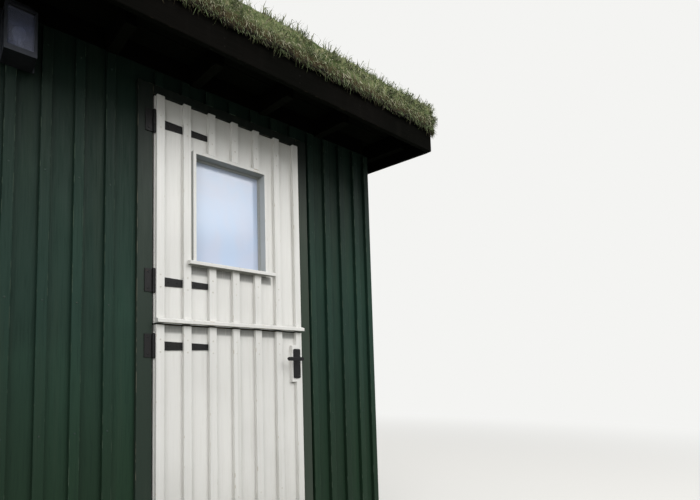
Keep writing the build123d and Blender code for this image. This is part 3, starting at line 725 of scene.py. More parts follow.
# Small things: matt grey putty, a near-black disc as the painted shade of a keyhole, glazed ceramic and opal
# glass
PUTTY = PlainFinish("weathered_putty", "#8E918F", "#A1A3A0", 0.6)
KEYHOLE_SHADE = PlainFinish("keyhole_painted_shade", "#050505", "#0B0B0B", 0.9)
LAMP_HOLDER = PlainFinish("ceramic_lampholder", "#D8D5CC", "#C4C0B5", 0.4)
OPAL_LAMP = PlainFinish("opal_lamp", "#E9E8E2", "#DDDCD4", 0.25)
# Drawn glass: milky in the window, its sky blue and paler patches a painted reflection of the sky and clouds;
# clear under dust in the lantern
WINDOW_PANE = GlassFinish("misted_glass_painted_sky", "#C3D5EE", "#CAD4E9", 0.12, 0.16)
LANTERN_PANE = GlassFinish("dusty_lantern_glass", "#9FA6C2", "#B9BED2", 0.72, 0.16)


def timber(name: str, run: Run, look: dict, **sizes: object) -> TimberFinish:
    """A timber finish for boards that run one way, with the run in its name."""
    return TimberFinish(f"{name}_{run.name.lower()}", run=run, **{**look, **sizes})


def piece(name: str, shape: Shape, finishes: list[Finish], body: str = "root",
          stands_for: tuple[str, ...] = (), smooth: bool = False) -> bpy.types.Object:
    """Makes an object of a shape, parents it to its body and hides the CAD nodes that it stands for.

    Args:
        name: the piece's name.
        shape: its points and faces, in the pod's frame.
        finishes: its finishes, by its faces' finish numbers.
        body: the body that it moves with.
        stands_for: CAD nodes that it replaces.
        smooth: whether it shades as one surface.

    Returns:
        The object.
    """
    made = placed(name, shape.mesh(name, smooth))
    for finish in finishes:
        made.data.materials.append(finish.material)
    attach(made, body)
    if stands_for:
        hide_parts(*stands_for)
    LOG.info("%s: %d triangles on %s", name, 2 * len(shape.quads) + len(shape.tris), body)
    return made


def dress(node: str, finish: Finish, worn: float = 0.0, round_by: float = 0.0) -> None:
    """Gives a CAD node its material, and eases its edges where they are worn.

    Args:
        node: the node's name.
        finish: the finish of its faces.
        worn: the share of its eased edges that is rubbed bare, or 0 for edges left as they are.
        round_by: how far each edge is eased, in metres.
    """
    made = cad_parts[node]
    made.data.materials.clear()
    made.data.materials.append(finish.material)
    if worn:
        made.data.materials.append(replace(finish, name=f"{finish.name}_arris", worn=worn).material)
        made.modifiers.new("weld", "WELD").merge_threshold = SAME_POINT
        ease = made.modifiers.new("arris", "BEVEL")
        ease.width = round_by
        ease.segments = 2
        ease.limit_method = "ANGLE"
        ease.angle_limit = ARRIS_ANGLE
        ease.material = 1
    LOG.info("%s: %s", node, finish.name)


class Facing(Enum):
    """Which way a slab's outer side looks: rows are its across, along and outward directions."""

    FRONT = ((1, 0, 0), (0, 0, 1), (0, -1, 0))
    BACK = ((-1, 0, 0), (0, 0, 1), (0, 1, 0))
    LEFT = ((0, -1, 0), (0, 0, 1), (-1, 0, 0))
    RIGHT = ((0, 1, 0), (0, 0, 1), (1, 0, 0))
    UP = ((0, 1, 0), (-1, 0, 0), (0, 0, 1))

    @property
    def axes(self) -> Rows:
        """The three directions as an array."""
        return np.array(self.value, float)


@dataclass(frozen=True)
class Boarding:
    """Matchboards with V joints, cut into one side of a slab."""

    cover: float
    joint_width: float = 0.007
    joint_depth: float = 0.003

    def joints(self, start: float, stop: float) -> Rows:
        """Joints one cover apart that fall between two edges, clear of both.

        Args:
            start: first edge.
            stop: last edge.

        Returns:
            The joints' places.
        """
        first = math.ceil((start + self.joint_width) / self.cover)
        last = math.floor((stop - self.joint_width) / self.cover)
        return np.arange(first, last + 1) * self.cover

    def lines(self, start: float, stop: float, joints: Rows | None = None,
              extra: tuple[float, ...] = ()) -> tuple[Rows, Rows]:
        """Grid lines across the boards, and how deep the side lies at each.

        Each joint gives three lines: its two lips at depth 0 and its root at full depth.

        Args:
            start: first edge.
            stop: last edge.
            joints: the joints' places, or none for joints one cover apart.
            extra: more lines, such as the sides of an opening.

        Returns:
            The lines and the depths.
        """
        joints = self.joints(start, stop) if joints is None else joints
        half, count = self.joint_width / 2, len(joints)
        known = np.concatenate([[start, stop], joints - half, joints, joints + half])
        depth = np.repeat([0, 0, self.joint_depth, 0], [2, count, count, count])
        order = np.argsort(known)
        lines = np.unique(np.concatenate([known, np.array(extra)]))
        return lines, np.interp(lines, known[order], depth[order])


def boarded_slab(lines: Rows, heights: Rows, face: Rows | float,
                 back: Rows | float, facing: Facing, solid: Rows | None = None) -> Shape:
    """A slab whose two sides may be ribbed, turned to face its way.

    Args:
        lines: places across.
        heights: places along, rows by lines or rows by 1.
        face: how far out the outer side lies, at each line or everywhere.
        back: the same for the inner side.
        facing: which way the outer side looks.
        solid: which cells are there, or none for all.

    Returns:
        The slab.
    """
    shape = (len(heights), len(lines))
    solid = np.ones((shape[0] - 1, shape[1] - 1), bool) if solid is None else solid
    sheets = [np.stack([np.broadcast_to(part, shape) for part in (lines, heights, out)], -1)
              for out in (face, back)]
    return stitched(*sheets, solid).turned(facing.axes)


@dataclass
class Shell:
    """Walls, floor and roof deck: boarded slabs in the places of the plain CAD slabs."""

    lining: Boarding = Boarding(0.095)
    flooring: Boarding = Boarding(0.12, 0.004, 0.003)
    decking: Boarding = Boarding(0.12, 0.009, 0.006)
    phase: float = 0.5

    def wall(self, node: str, facing: Facing) -> None:
        """A wall slab with lining joints cut into its inner side.

        An end wall's top follows the roof on both sides of a notch for the ridge beam.

        Args:
            node: the wall's CAD node.
            facing: which way its outer side looks.
        """
        low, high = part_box(node)
        is_end = facing in (Facing.LEFT, Facing.RIGHT)
        beside, outward = (1, 0) if is_end else (0, 1)
        start, stop = sorted(facing.axes[0, beside] * end[beside] for end in (low, high))
        inner, outer = sorted(abs(end[outward]) for end in (low, high))
        beam_low, beam_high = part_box("ridge_beam")
        notch = (beam_low.y, beam_high.y) if is_end else ()
        lines, depth = self.lining.lines(start, stop, extra=notch)
        heights, solid = np.array([[low.z], [high.z]]), None
        if is_end:
            heights = np.stack([np.full(len(lines), low.z), np.full(len(lines), beam_low.z),
                                high.z - np.abs(lines) * SLOPE])
            solid = np.ones((2, len(lines) - 1), bool)
            solid[1] = np.abs((lines[:-1] + lines[1:]) / 2) > beam_high.y
        run = Run.UPRIGHT_BY_Y if is_end else Run.UPRIGHT_BY_X
        skins = [timber("green_stained_boards", run, GREEN, phase=self.phase, tone_spread=0.14),
                 timber("pine_lining", run, PINE, board=self.lining.cover, streaks=0.08,
                        tone_spread=0.12, knots=0.7, roughness=0.45)]
        piece(f"{node}_boarded", boarded_slab(lines, heights, outer, inner + depth, facing, solid), skins,
              stands_for=(node,))

    def floor(self) -> None:
        """Floor boards along the pod, with narrow joints in their upper side."""
        low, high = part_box("floor_deck")
        lines, depth = self.flooring.lines(low.y, high.y)
        shape = boarded_slab(lines, np.array([[low.x], [high.x]]), high.z - depth, low.z, Facing.UP)
        finish = TimberFinish("oiled_pine_floor", run=Run.LENGTHWISE_BY_Y, board=self.flooring.cover,
                              streaks=0.1, tone_spread=0.14, knots=0.8, roughness=0.42, **PINE)
        piece("floor_boards", shape, [finish, finish], stands_for=("floor_deck",))

    def roof_deck(self, node: str) -> None:
        """One slope of deck boards, with wide V joints that show from below the eaves.

        Args:
            node: the slope's CAD node.
        """
        low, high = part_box(node)
        thickness = high.z - low.z - (high.y - low.y) * SLOPE
        lines, depth = self.decking.lines(low.y, high.y)
        top = high.z - np.abs(lines) * SLOPE
        shape = boarded_slab(lines, np.array([[low.x], [high.x]]), top, top - thickness + depth, Facing.UP)
        finish = TimberFinish("black_brown_deck", run=Run.LENGTHWISE_BY_Y, board=self.decking.cover,
                              **TARRED)
        piece(f"{node}_boards", shape, [finish, finish], stands_for=(node,))

    def build(self) -> None:
        """Builds every slab of the shell."""
        for facing, nodes in (
            (Facing.FRONT, ("front_wall_left", "front_wall_right", "front_wall_head")),
            (Facing.BACK, ("back_wall",)), (Facing.LEFT, ("left_wall",)), (Facing.RIGHT, ("right_wall",)),
        ):
            for node in nodes:
                self.wall(node, facing)
        self.floor()
        self.roof_deck("roof_deck_front")
        self.roof_deck("roof_deck_back")


@dataclass(frozen=True)
class Timbers:
    """CAD timbers that keep their shapes and share one finish, by the way that they run."""

    name: str
    look: dict
    worn: float
    round_by: float
    nodes: dict[Run, tuple[str, ...]]

    def build(self) -> None:
        """Dresses each timber, with its arrises eased and rubbed."""
        for run, nodes in self.nodes.items():
            for node in nodes:
                dress(node, timber(self.name, run, self.look), self.worn, self.round_by)


@dataclass
class Timberwork:
    """Battens and trims, a shade apart from the wall behind them, door frame, roof and floor."""

    groups: tuple[Timbers, ...] = (
        Timbers("green_stained_battens", dict(GREEN, coat="#1A3229", tone_spread=0.16), 0.5, 0.0022, {
            Run.UPRIGHT_BY_X: ("front_battens", "back_battens", "corner_trims"),
            Run.UPRIGHT_BY_Y: ("left_battens", "right_battens"),
            Run.LENGTHWISE_BY_Z: ("base_boards",),
        }),
        Timbers("grey_green_paint", dict(SAGE, relief=0.0004), 0.6, 0.002, {
            Run.UPRIGHT_BY_X: ("door_jambs",),
            Run.LENGTHWISE_BY_Z: ("door_head",),
            Run.LENGTHWISE_BY_Y: ("threshold",),
        }),
        Timbers("black_brown_stain", dict(TARRED, board=0.4), 0.4, 0.003, {
            Run.LENGTHWISE_BY_Z: ("ridge_beam", "eaves_blocking", "fascia_boards"),
            Run.CROSSWISE_BY_X: ("rafters", "verge_boards"),
        }),
        Timbers("treated_softwood", dict(TREATED, board=0.475, splash=0.7, grain_show=0.6,
                                         roughness=0.75, relief=0.001), 0.5, 0.003, {
            Run.LENGTHWISE_BY_Y: ("runners", "rim_joists"),
            Run.CROSSWISE_BY_X: ("floor_joists",),
        }),
    )

    def build(self) -> None:
        """Dresses every timber that keeps its CAD shape."""
        for group in self.groups:
            group.build()


def centres_across(node: str, axis: int = 0, face_axis: int = 1, side: int = -1) -> Rows:
    """Middles of a node's parallel battens, whose outer edges, sorted, come in pairs.

    Args:
        node: the battens' node.
        axis: the axis that they lie side by side along.
        face_axis: the axis that their outer face looks along.
        side: -1 or 1, which end of that axis.

    Returns:
        The middles, from low to high.
    """
    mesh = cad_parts[node].data
    points = np.zeros(len(mesh.vertices) * 3, np.float32)
    mesh.vertices.foreach_get("co", points)
    points = points.reshape(-1, 3)
    outer = (points[:, face_axis] * side).max()
    on_face = points[:, face_axis] * side > outer - SAME_FACE
    edges = np.unique(np.round(points[on_face, axis].astype(float), 4))
    return edges[:len(edges) // 2 * 2].reshape(-1, 2).mean(axis=1)


@dataclass
class StableDoor:
    """Both leaves: boards with V joints inside, painted battens, ledges, glass and bead."""

    matching: Boarding = Boarding(0.128)
    worn: float = 0.2
    paint_round: float = 0.0018
    glass_fit: float = 0.0003
    lining: float = 0.015
    bead: float = 0.009
    # The reveal colour is a painted shade in the window's reveal
    reveal: str = "#B9BCBA"
    # Painted shadows on the boards under the sill and the weather bar: their tone, height and share
    shadow_tone: str = "#7B7C79"
    shadow_height: float = 0.046
    shadow_share: float = 0.8

    def paint(self, name: str, run: Run, **more: object) -> TimberFinish:
        """The off-white paint for boards that run one way."""
        return TimberFinish(name, run=run, board=0.130667, phase=0.85, grain_width=0.006, grain_show=0.25,
                            tone_spread=0.02, streaks=0.2, splash_height=0.75, splash=0.35, relief=0.0004,
                            **WHITE, **more)

    def boards(self, leaf: str) -> None:
        """A leaf's boards, jointed behind each batten, with the window cut out of the top leaf.

        Args:
            leaf: top_leaf or bottom_leaf.
        """
        node = f"{leaf}_boards"
        low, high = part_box(node)
        rows, opening = [low.z, high.z], ()
        if leaf == "top_leaf":
            pane_low, pane_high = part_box("window_glass")
            edge = self.glass_fit + self.lining
            opening = (pane_low.x - edge, pane_high.x + edge)
            rows = [low.z, pane_low.z - edge, pane_high.z + edge, high.z]
        lines, depth = self.matching.lines(low.x, high.x, centres_across(f"{leaf}_battens"), opening)
        solid = np.ones((len(rows) - 1, len(lines) - 1), bool)
        if opening:
            middles = (lines[:-1] + lines[1:]) / 2
            solid[1] = (middles < opening[0]) | (middles > opening[1])
        shape = boarded_slab(lines, np.array(rows)[:, None], -low.y, -high.y + depth, Facing.FRONT, solid)
        # Painted shadows on the boards close under the sill and the weather bar
        sill_shadows = tuple(
            Patch(self.shadow_tone, "Z", over.z - self.shadow_height, over.z - self.shadow_height * 0.7,
                  (("X", over.x, end.x), ("Y", low.y - 0.01, low.y + 0.01), ("Z", over.z - 0.1, over.z)),
                  self.shadow_share)
            for over, end in (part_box("window_frame"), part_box("weather_bar"))
        )
        finish = self.paint("off_white_boards", Run.UPRIGHT_BY_X, areas=sill_shadows)
        piece(f"{leaf}_matchboards", shape, [finish, finish], leaf, (node,))

    def glazing_bead(self) -> None:
        """A quarter-round bead in front of the glass, mitred at its four corners.

        Profile point k lies in from the lining and out from the glass by the quarter circle's
        cosine and sine, and each corner of the window holds the same profile.
        """
        low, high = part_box("window_glass")
        quarter = np.linspace(0, math.pi / 2, 7)
        profile = np.concatenate([[[0, 0]], np.stack([np.cos(quarter), np.sin(quarter)], -1)]) * self.bead
        middle, half = (low + high) / 2, (high - low) / 2
        signs = np.array([(-1, -1), (1, -1), (1, 1), (-1, 1)])
        grid = np.stack([
            middle.x + signs[:, :1] * (half.x - profile[:, 0]),
            np.repeat(low.y - ON_FACE - profile[None, :, 1], 4, axis=0),
            middle.z + signs[:, 1:] * (half.z - profile[:, 0]),
        ], -1)
        number = np.arange(4 * len(profile)).reshape(4, -1)
        corner, after = np.roll(number, -1, axis=0), np.roll(number, -1, axis=1)
        quads = np.stack([number, corner, np.roll(corner, -1, axis=1), after], -1).reshape(-1, 4)
        piece("glazing_bead", Shape(grid.reshape(-1, 3), quads), [PUTTY], "top_leaf")

    def build(self) -> None:
        """Builds and dresses both leaves."""
        ledges = self.paint("off_white_ledges", Run.LENGTHWISE_BY_Z)
        reveal = (self.reveal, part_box("top_leaf_battens")[0].y)
        painted = {"window_frame": self.paint("off_white_lining", Run.LENGTHWISE_BY_Z, recess=reveal),
                   "weather_bar": ledges}
        for leaf in LEAVES:
            self.boards(leaf)
            painted[f"{leaf}_battens"] = self.paint("off_white_battens", Run.UPRIGHT_BY_X)
            painted[f"{leaf}_ledges"] = ledges
        for node, finish in painted.items():
            dress(node, finish, self.worn, self.paint_round)
        dress("window_glass", WINDOW_PANE)
        self.glazing_bead()


@dataclass(frozen=True)
class ScrewHead:
    """A countersunk head that stands slightly proud, with a recess in its middle."""

    radius: float = 0.0042
    height: float = 0.0011
    sides: int = 10

    def driven(self, places: Rows, outward: Place = FRONTWARD) -> Shape:
        """Copies of the head, driven in at their places.

        The profile rises from its rim to a crown at a third of the radius, then dips.

        Args:
            places: where the heads sit, one row each.
            outward: which way they face.

        Returns:
            All the heads.
        """
        r, h = self.radius, self.height
        profile = np.array([(0, -h), (r, -h), (r, h * 0.3), (r * 0.8, h * 0.9), (r * 0.36, h), (0, h * 0.1)])
        out = np.array(outward, float)
        beside = np.cross(out, (0, 0, 1)) if abs(out[2]) < 0.9 else np.array((1.0, 0, 0))
        axes = np.stack([beside, np.cross(out, beside), out])
        return revolved(profile, self.sides).turned(axes).copied(places)


def heads(name: str, shapes: list[Shape], finish: Finish, body: str = "root") -> None:
    """One smooth piece of several rows of heads."""
    piece(name, Shape.joined(shapes), [finish], body, smooth=True)


def grid_places(across: Rows, heights: Rows, face: float, axis: int = 0) -> Rows:
    """Every pairing of places across with heights, on a face of the pod.

    Args:
        across: places along X (axis 0) or Y (axis 1).
        heights: places along Z.
        face: the place of the face on the other level axis.
        axis: which axis across runs along.

    Returns:
        The places, one row each.
    """
    a, z = (grid.ravel() for grid in np.meshgrid(across, heights))
    other = np.full(len(a), face)
    return np.stack([a, other, z] if axis == 0 else [other, a, z], -1)


def about(middles: Rows, half: float) -> Rows:
    """Each middle less a half, then each middle plus it."""
    return np.concatenate([middles - half, middles + half])


@dataclass
class Fixings:
    """Screws and nails on battens, leaves and boards."""

    head: ScrewHead = ScrewHead()
    floor_head: ScrewHead = ScrewHead(0.0038, 0.0006, 8)
    rows: tuple[float, ...] = (0.33, 0.83, 1.33, 1.83, 2.33)
    base_rows: tuple[float, ...] = (0.15, 0.235)
    fascia_rows: tuple[float, ...] = (2.345, 2.38)
    nail_spacing: float = 0.4
    first_nail: float = 0.06
    last_nail: float = 0.03
    pair_half: float = 0.027
    floor_cover: float = 0.12
    floor_margins: tuple[float, float] = (0.025, 0.095)
    floor_limits: tuple[float, float] = (1.69, 1.09)

    def battens(self) -> None:
        """Five heads up each batten on every wall, but for those over the door."""
        for wall, axis, face_axis, side in (("front", 0, 1, -1), ("back", 0, 1, 1),
                                            ("left", 1, 0, -1), ("right", 1, 0, 1)):
            node = f"{wall}_battens"
            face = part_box(node)[0 if side < 0 else 1][face_axis]
            out = (0, side, 0) if axis == 0 else (side, 0, 0)
            centres = centres_across(node, axis, face_axis, side)
            places = grid_places(centres, np.array(self.rows), face, axis)
            if wall == "front":
                frame_low, frame_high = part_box("door_jambs")
                places = places[(places[:, 0] <= frame_low.x) | (places[:, 0] >= frame_high.x)]
            heads(f"{node}_screws", [self.head.driven(places, out)], ZINC_HEADS)

    def leaves(self) -> None:
        """A pair of heads where each leaf batten crosses a ledge."""
        for leaf in LEAVES:
            rows = np.sort(about(strap_heights(leaf), self.pair_half))
            places = grid_places(centres_across(f"{leaf}_battens")[:6], rows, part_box(f"{leaf}_battens")[0].y)
            heads(f"{leaf}_screws", [self.head.driven(places)], WHITE_HEADS, leaf)

    def boards(self) -> None:
        """Nails along the base boards and the fascias."""
        for node, heights, finish, slot in (
            ("base_boards", self.base_rows, ZINC_HEADS, "batten_paint"),
            ("fascia_boards", self.fascia_rows, DARK_HEADS, "roof_timber"),
        ):
            low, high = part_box(node)
            across = np.arange(low.x + self.first_nail, high.x - self.last_nail, self.nail_spacing)
            shapes = [self.head.driven(grid_places(across, np.array(heights), face), (0, side, 0))
                      for side, face in ((-1, low.y), (1, high.y))]
            heads(f"{node}_nails", shapes, finish)

    def floor(self) -> None:
        """Two screws in each floor board over each joist."""
        low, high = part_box("floor_deck")
        boards = np.arange(math.ceil(low.y / self.floor_cover), math.floor(high.y / self.floor_cover))
        rows = np.concatenate([boards * self.floor_cover + margin for margin in self.floor_margins])
        x, y = (grid.ravel() for grid in np.meshgrid(centres_across("floor_joists", 0, 2, 1), rows))
        places = np.stack([x, y, np.full(len(x), high.z)], -1)
        inside = (np.abs(places[:, :2]) < self.floor_limits).all(axis=1)
        heads("floor_screws", [self.floor_head.driven(places[inside], (0, 0, 1))], BRIGHT_HEADS)

    def build(self) -> None:
        """Drives every screw and nail in the timber."""
        self.battens()
        self.leaves()
        self.boards()
        self.floor()


def strap_heights(leaf: str) -> Rows:
    """Middle heights of a leaf's two straps, from the lowest and highest points of their box."""
    low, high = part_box(f"{leaf}_straps")
    return np.array([low.z + Ironmongery.strap_half, high.z - Ironmongery.strap_half])


@dataclass
class Ironmongery:
    """T hinges, handle plates and lever in black painted steel, with their screws."""

    strap_half: float = 0.021
    metal: float = 0.004
    screw: ScrewHead = ScrewHead(0.0046, 0.0013, 12)
    keyhole: ScrewHead = ScrewHead(0.0048, 0.0004, 16)
    key_slot: ScrewHead = ScrewHead(0.0026, 0.0004, 10)
    strap_screw_half: float = 0.022
    plate_middle: float = 0.016
    plate_screw_half: float = 0.036
    handle_screw_margin: float = 0.011
    keyhole_height: float = 0.04
    slot_drops: tuple[float, ...] = (0.005, 0.009, 0.013)

    def hinges(self) -> None:
        """Screws in the straps between the battens, and four in each plate."""
        for leaf in LEAVES:
            battens = centres_across(f"{leaf}_battens")
            across = about((battens[:2] + battens[1:3]) / 2, self.strap_screw_half)
            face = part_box(f"{leaf}_boards")[0].y - self.metal
            places = grid_places(across, strap_heights(leaf), face)
            heads(f"{leaf}_strap_screws", [self.screw.driven(places)], BLACK_STEEL, leaf)
        middle = np.array([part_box("hinge_plates")[0].x + self.plate_middle])
        rows = about(np.concatenate([strap_heights(leaf) for leaf in LEAVES]), self.plate_screw_half)
        places = grid_places(middle, rows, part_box("door_jambs")[0].y - self.metal)
        heads("hinge_plate_screws", [self.screw.driven(places)], BLACK_STEEL)

    def handle(self) -> None:
        """Screws at the ends of both handle plates, and a keyhole low on each."""
        low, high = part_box("handle_plates")
        x = np.array([(low.x + high.x) / 2])
        ends = np.array([low.z + self.handle_screw_margin, high.z - self.handle_screw_margin])
        key = np.array([low.z + self.keyhole_height])
        screws, keys = [], []
        for side, face in ((-1, low.y), (1, high.y)):
            out = (0, side, 0)
            screws.append(self.screw.driven(grid_places(x, ends, face), out))
            keys.append(self.keyhole.driven(grid_places(x, key, face), out))
            keys.append(self.key_slot.driven(grid_places(x, key - np.array(self.slot_drops), face), out))
        heads("handle_plate_screws", screws, BLACK_STEEL, "bottom_leaf")
        # Each keyhole is a near-black disc of painted shade
        heads("keyholes", keys, KEYHOLE_SHADE, "bottom_leaf")

    def build(self) -> None:
        """Dresses the ironwork and adds its screws."""
        for node in ("top_leaf_straps", "bottom_leaf_straps", "hinge_plates", "hinge_pins",
                     "handle_plates", "lever"):
            dress(node, BLACK_STEEL)
        self.hinges()
        self.handle()


@dataclass
class WallLantern:
    """The grey wall lantern with its lampholder and lamp."""

    holder_radius: float = 0.016
    holder_height: float = 0.034
    lamp_radius: float = 0.024
    lamp_neck: float = 0.022
    cap_lift: float = 0.0005
    cap_height: float = 0.014
    neck_angle: float = math.radians(60)
    sides: int = 24

    def lamp(self) -> None:
        """A lampholder on the tray and a pear-shaped opal lamp on it.

        The lamp's profile goes from the holder's neck up round a circle of the lamp's radius.
        """
        low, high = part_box("lantern_glass")
        foot = np.array([[(low.x + high.x) / 2, (low.y + high.y) / 2, low.z]])
        r, h = self.holder_radius, self.holder_height
        holder = np.array([(0, 0), (r, 0), (r, h * 0.7), (r * 0.85, h), (0, h)])
        turn = np.linspace(-self.neck_angle, math.pi / 2, self.sides // 2)
        ball = np.stack([np.cos(turn), np.sin(turn)], -1) * self.lamp_radius
        ball[:, 1] += h + self.lamp_radius + self.lamp_neck
        ball[-1, 0] = 0
        foot_height = h + self.cap_lift
        neck = np.array([(0, foot_height), (r * 0.6, foot_height), (r * 0.65, h + self.cap_height)])
        for name, profile, finish, slot in (
            ("lampholder", holder, LAMP_HOLDER, "lantern_metal"),
            ("lamp", np.concatenate([neck, ball]), OPAL_LAMP, "lantern_glass"),
        ):
            piece(name, revolved(profile, self.sides).copied(foot), [finish], smooth=True)

    def build(self) -> None:
        """Dresses the lantern and fills it."""
        dress("lantern_body", GREY_COAT)
        dress("lantern_glass", LANTERN_PANE)
        self.lamp()


@dataclass(frozen=True)
class Growth:
    """One kind of growth: how far it spreads, and how long, wide and pale its blades are.

    Each patch of another tone is the cell, seed and strength of a value noise.
    """

    past_shoulder: float
    sunk: float
    length: float
    longer: float
    width: float
    wider: float
    tone: float
    tone_varies: float
    paler_below: float = 0.0
    patches: tuple[tuple[float, int, float], ...] = ()

    def lengths(self, rng: np.random.Generator, count: int, power: float = 1.0) -> Rows:
        """A length for each blade, fewer of them long the higher the power."""
        return self.length + self.longer * rng.random(count) ** power

    def widths(self, rng: np.random.Generator, count: int) -> Rows:
        """A width for each blade."""
        return self.width + self.wider * rng.random(count)

    def tones(self, rng: np.random.Generator, points: Rows, share: Rows) -> Rows:
        """Each blade's place on the ramp of tones, by its patch and its share of the way down."""
        patch = sum(value_noise(points, cell, seed) * by for cell, seed, by in self.patches)
        return self.tone + self.paler_below * share + patch + rng.normal(size=len(points)) * self.tone_varies


@dataclass
class TurfRoof:
    """The turf: a sod for each slope, grass and moss on it, straw and roots down its edges.

    Sags, cushions, tufting and rags are each the cell, seed and height of a value noise.
    """

    half_length: float
    half_depth: float
    crown: float
    settle: float = 0.034
    shoulder: float = 0.055
    edge_gap: float = 0.014
    face_height: float = 0.158
    roll: float = 0.034
    roll_width: float = 0.28
    corner_power: float = 4.0
    top_thickness: float = 0.05
    lip_thickness: float = 0.014
    near_step: float = 0.012
    far_step: float = 0.028
    near_width: float = 0.12
    sags: tuple[float, int, float] = (0.42, 11, 0.006)
    cushions: tuple[float, int, float] = (0.11, 12, 0.018)
    tufting: tuple[float, int, float] = (0.035, 13, 0.004)
    rags: tuple[float, int, float] = (0.05, 14, 0.012)
    hollow: float = 0.005
    tufts: int = 1900
    per_tuft: int = 9
    stalks: int = 27000
    strands: int = 7600
    knee: float = 0.55
    grass_kind: Growth = Growth(0.75, 0.004, 0.022, 0.05, 0.0026, 0.0022, 0.62, 0.11, 0.08,
                                ((0.3, 15, 0.16), (0.06, 16, 0.1)))
    moss_kind: Growth = Growth(0.5, 0.002, 0.009, 0.016, 0.0034, 0.003, 0.64, 0.07, 0.1,
                               ((0.34, 20, 0.2), (0.08, 21, 0.08)))
    fringe_kind: Growth = Growth(0.0, 0.003, 0.014, 0.014, 0.0022, 0.002, 0.86, 0.13)

    @property
    def skirt(self) -> float:
        """Length of surface from the start of the shoulder down to the foot."""
        return self.shoulder * math.pi / 2 + self.face_height - self.shoulder

    def reach(self, share: float = 0.0) -> tuple[float, float]:
        """How far flat coordinates go each way: to the shoulder and on by a share of the skirt."""
        return tuple(half - self.edge_gap - self.shoulder + self.skirt * share
                     for half in (self.half_length, self.half_depth))

    def blanket(self, across: Rows, down: Rows, side: int) -> tuple[Rows, Rows, Rows]:
        """Lays flat coordinates over the roof like a blanket over a block.

        Up to the shoulder a point stays on the slope. Past it, the larger of the two excesses
        bends round a quarter circle and then hangs straight down. The fourth root of the sum of
        the excesses' fourth powers rounds the corner. A low roll lifts the turf along its edges
        by the square of how near they are, as far as there is room under the crown.

        Args:
            across: places along the ridge, which may pass the ends.
            down: distances from the ridge, which may pass the eaves.
            side: -1 for the front slope, 1 for the back.

        Returns:
            The points, the outward directions and each point's share of the way down the face.
        """
        r = self.shoulder
        inner_x, inner_y = self.reach()
        past_x = np.maximum(np.abs(across) - inner_x, 0)
        past_y = np.maximum(down - inner_y, 0)
        past = np.maximum(past_x, past_y)
        length = np.maximum((past_x ** self.corner_power + past_y ** self.corner_power)
                            ** (1 / self.corner_power), 1e-9)
        way_x, way_y = past_x / length * np.sign(across), past_y / length
        angle = np.minimum(past / r, math.pi / 2)
        out = r * np.sin(angle)
        fall = r * (1 - np.cos(angle)) + np.maximum(past - r * math.pi / 2, 0)
        x = np.clip(across, -inner_x, inner_x) + out * way_x
        y = np.minimum(down, inner_y) + out * way_y
        inside = np.minimum(np.abs(inner_x - np.abs(across)), np.abs(inner_y - down))
        near = np.where(past > 0, 1, np.clip(1 - inside / self.roll_width, 0, 1)) ** 2
        lift = np.minimum(self.roll, 0.6 * (self.settle + y * SLOPE) - 0.012) * near
        z = self.crown - self.settle - y * SLOPE - fall + lift
        points = np.stack([x, side * y, z], -1)
        level = unit(np.stack([way_x, side * way_y], -1)) * np.sin(angle)[:, None]
        normals = np.concatenate([level, np.cos(angle)[:, None]], 1)
        return points, unit(normals), past / self.skirt

    def kept_in(self, points: Rows) -> Rows:
        """Holds points a millimetre inside the box of the turf solids."""
        limit = np.array([self.half_length, self.half_depth, self.crown]) - 0.001
        return np.clip(points, (-limit[0], -limit[1], 0), limit)

    def lumps(self, points: Rows, share: Rows) -> Rows:
        """How far the surface swells: broad sags, moss cushions and fine tufts, less on the face.

        Args:
            points: places on the plain surface.
            share: how far down the face each of them is.

        Returns:
            The height of each point's swell.
        """
        sags, cushions, tufting = (value_noise(points, cell, seed) * height
                                   for cell, seed, height in (self.sags, self.cushions, self.tufting))
        return (sags + (np.abs(cushions) - self.hollow) + tufting) * np.clip(1.25 - share * 1.6, 0.35, 1)

    def rooted(self, across: Rows, down: Rows, side: int, depth: float) -> tuple[Rows, Rows, Rows]:
        """The blanket's points on the swollen surface, sunk by a depth, with the same returns."""
        points, normals, share = self.blanket(across, down, side)
        return points + normals * (self.lumps(points, share) - depth)[:, None], normals, share

    def room(self, points: Rows) -> Rows:
        """How long a blade may be at each point without passing the crown."""
        return (self.crown - points[:, 2]) * 0.95

    def steps(self, stop: float, fine_from: float) -> Rows:
        """Grid lines from 0 to stop, far apart at first and close at the end.

        Args:
            stop: the last line.
            fine_from: where they start to be close.

        Returns:
            The lines.
        """
        far = np.linspace(0, fine_from, max(2, round(fine_from / self.far_step)))
        near = np.linspace(fine_from, stop, round((stop - fine_from) / self.near_step))
        return np.unique(np.concatenate([far, near]))

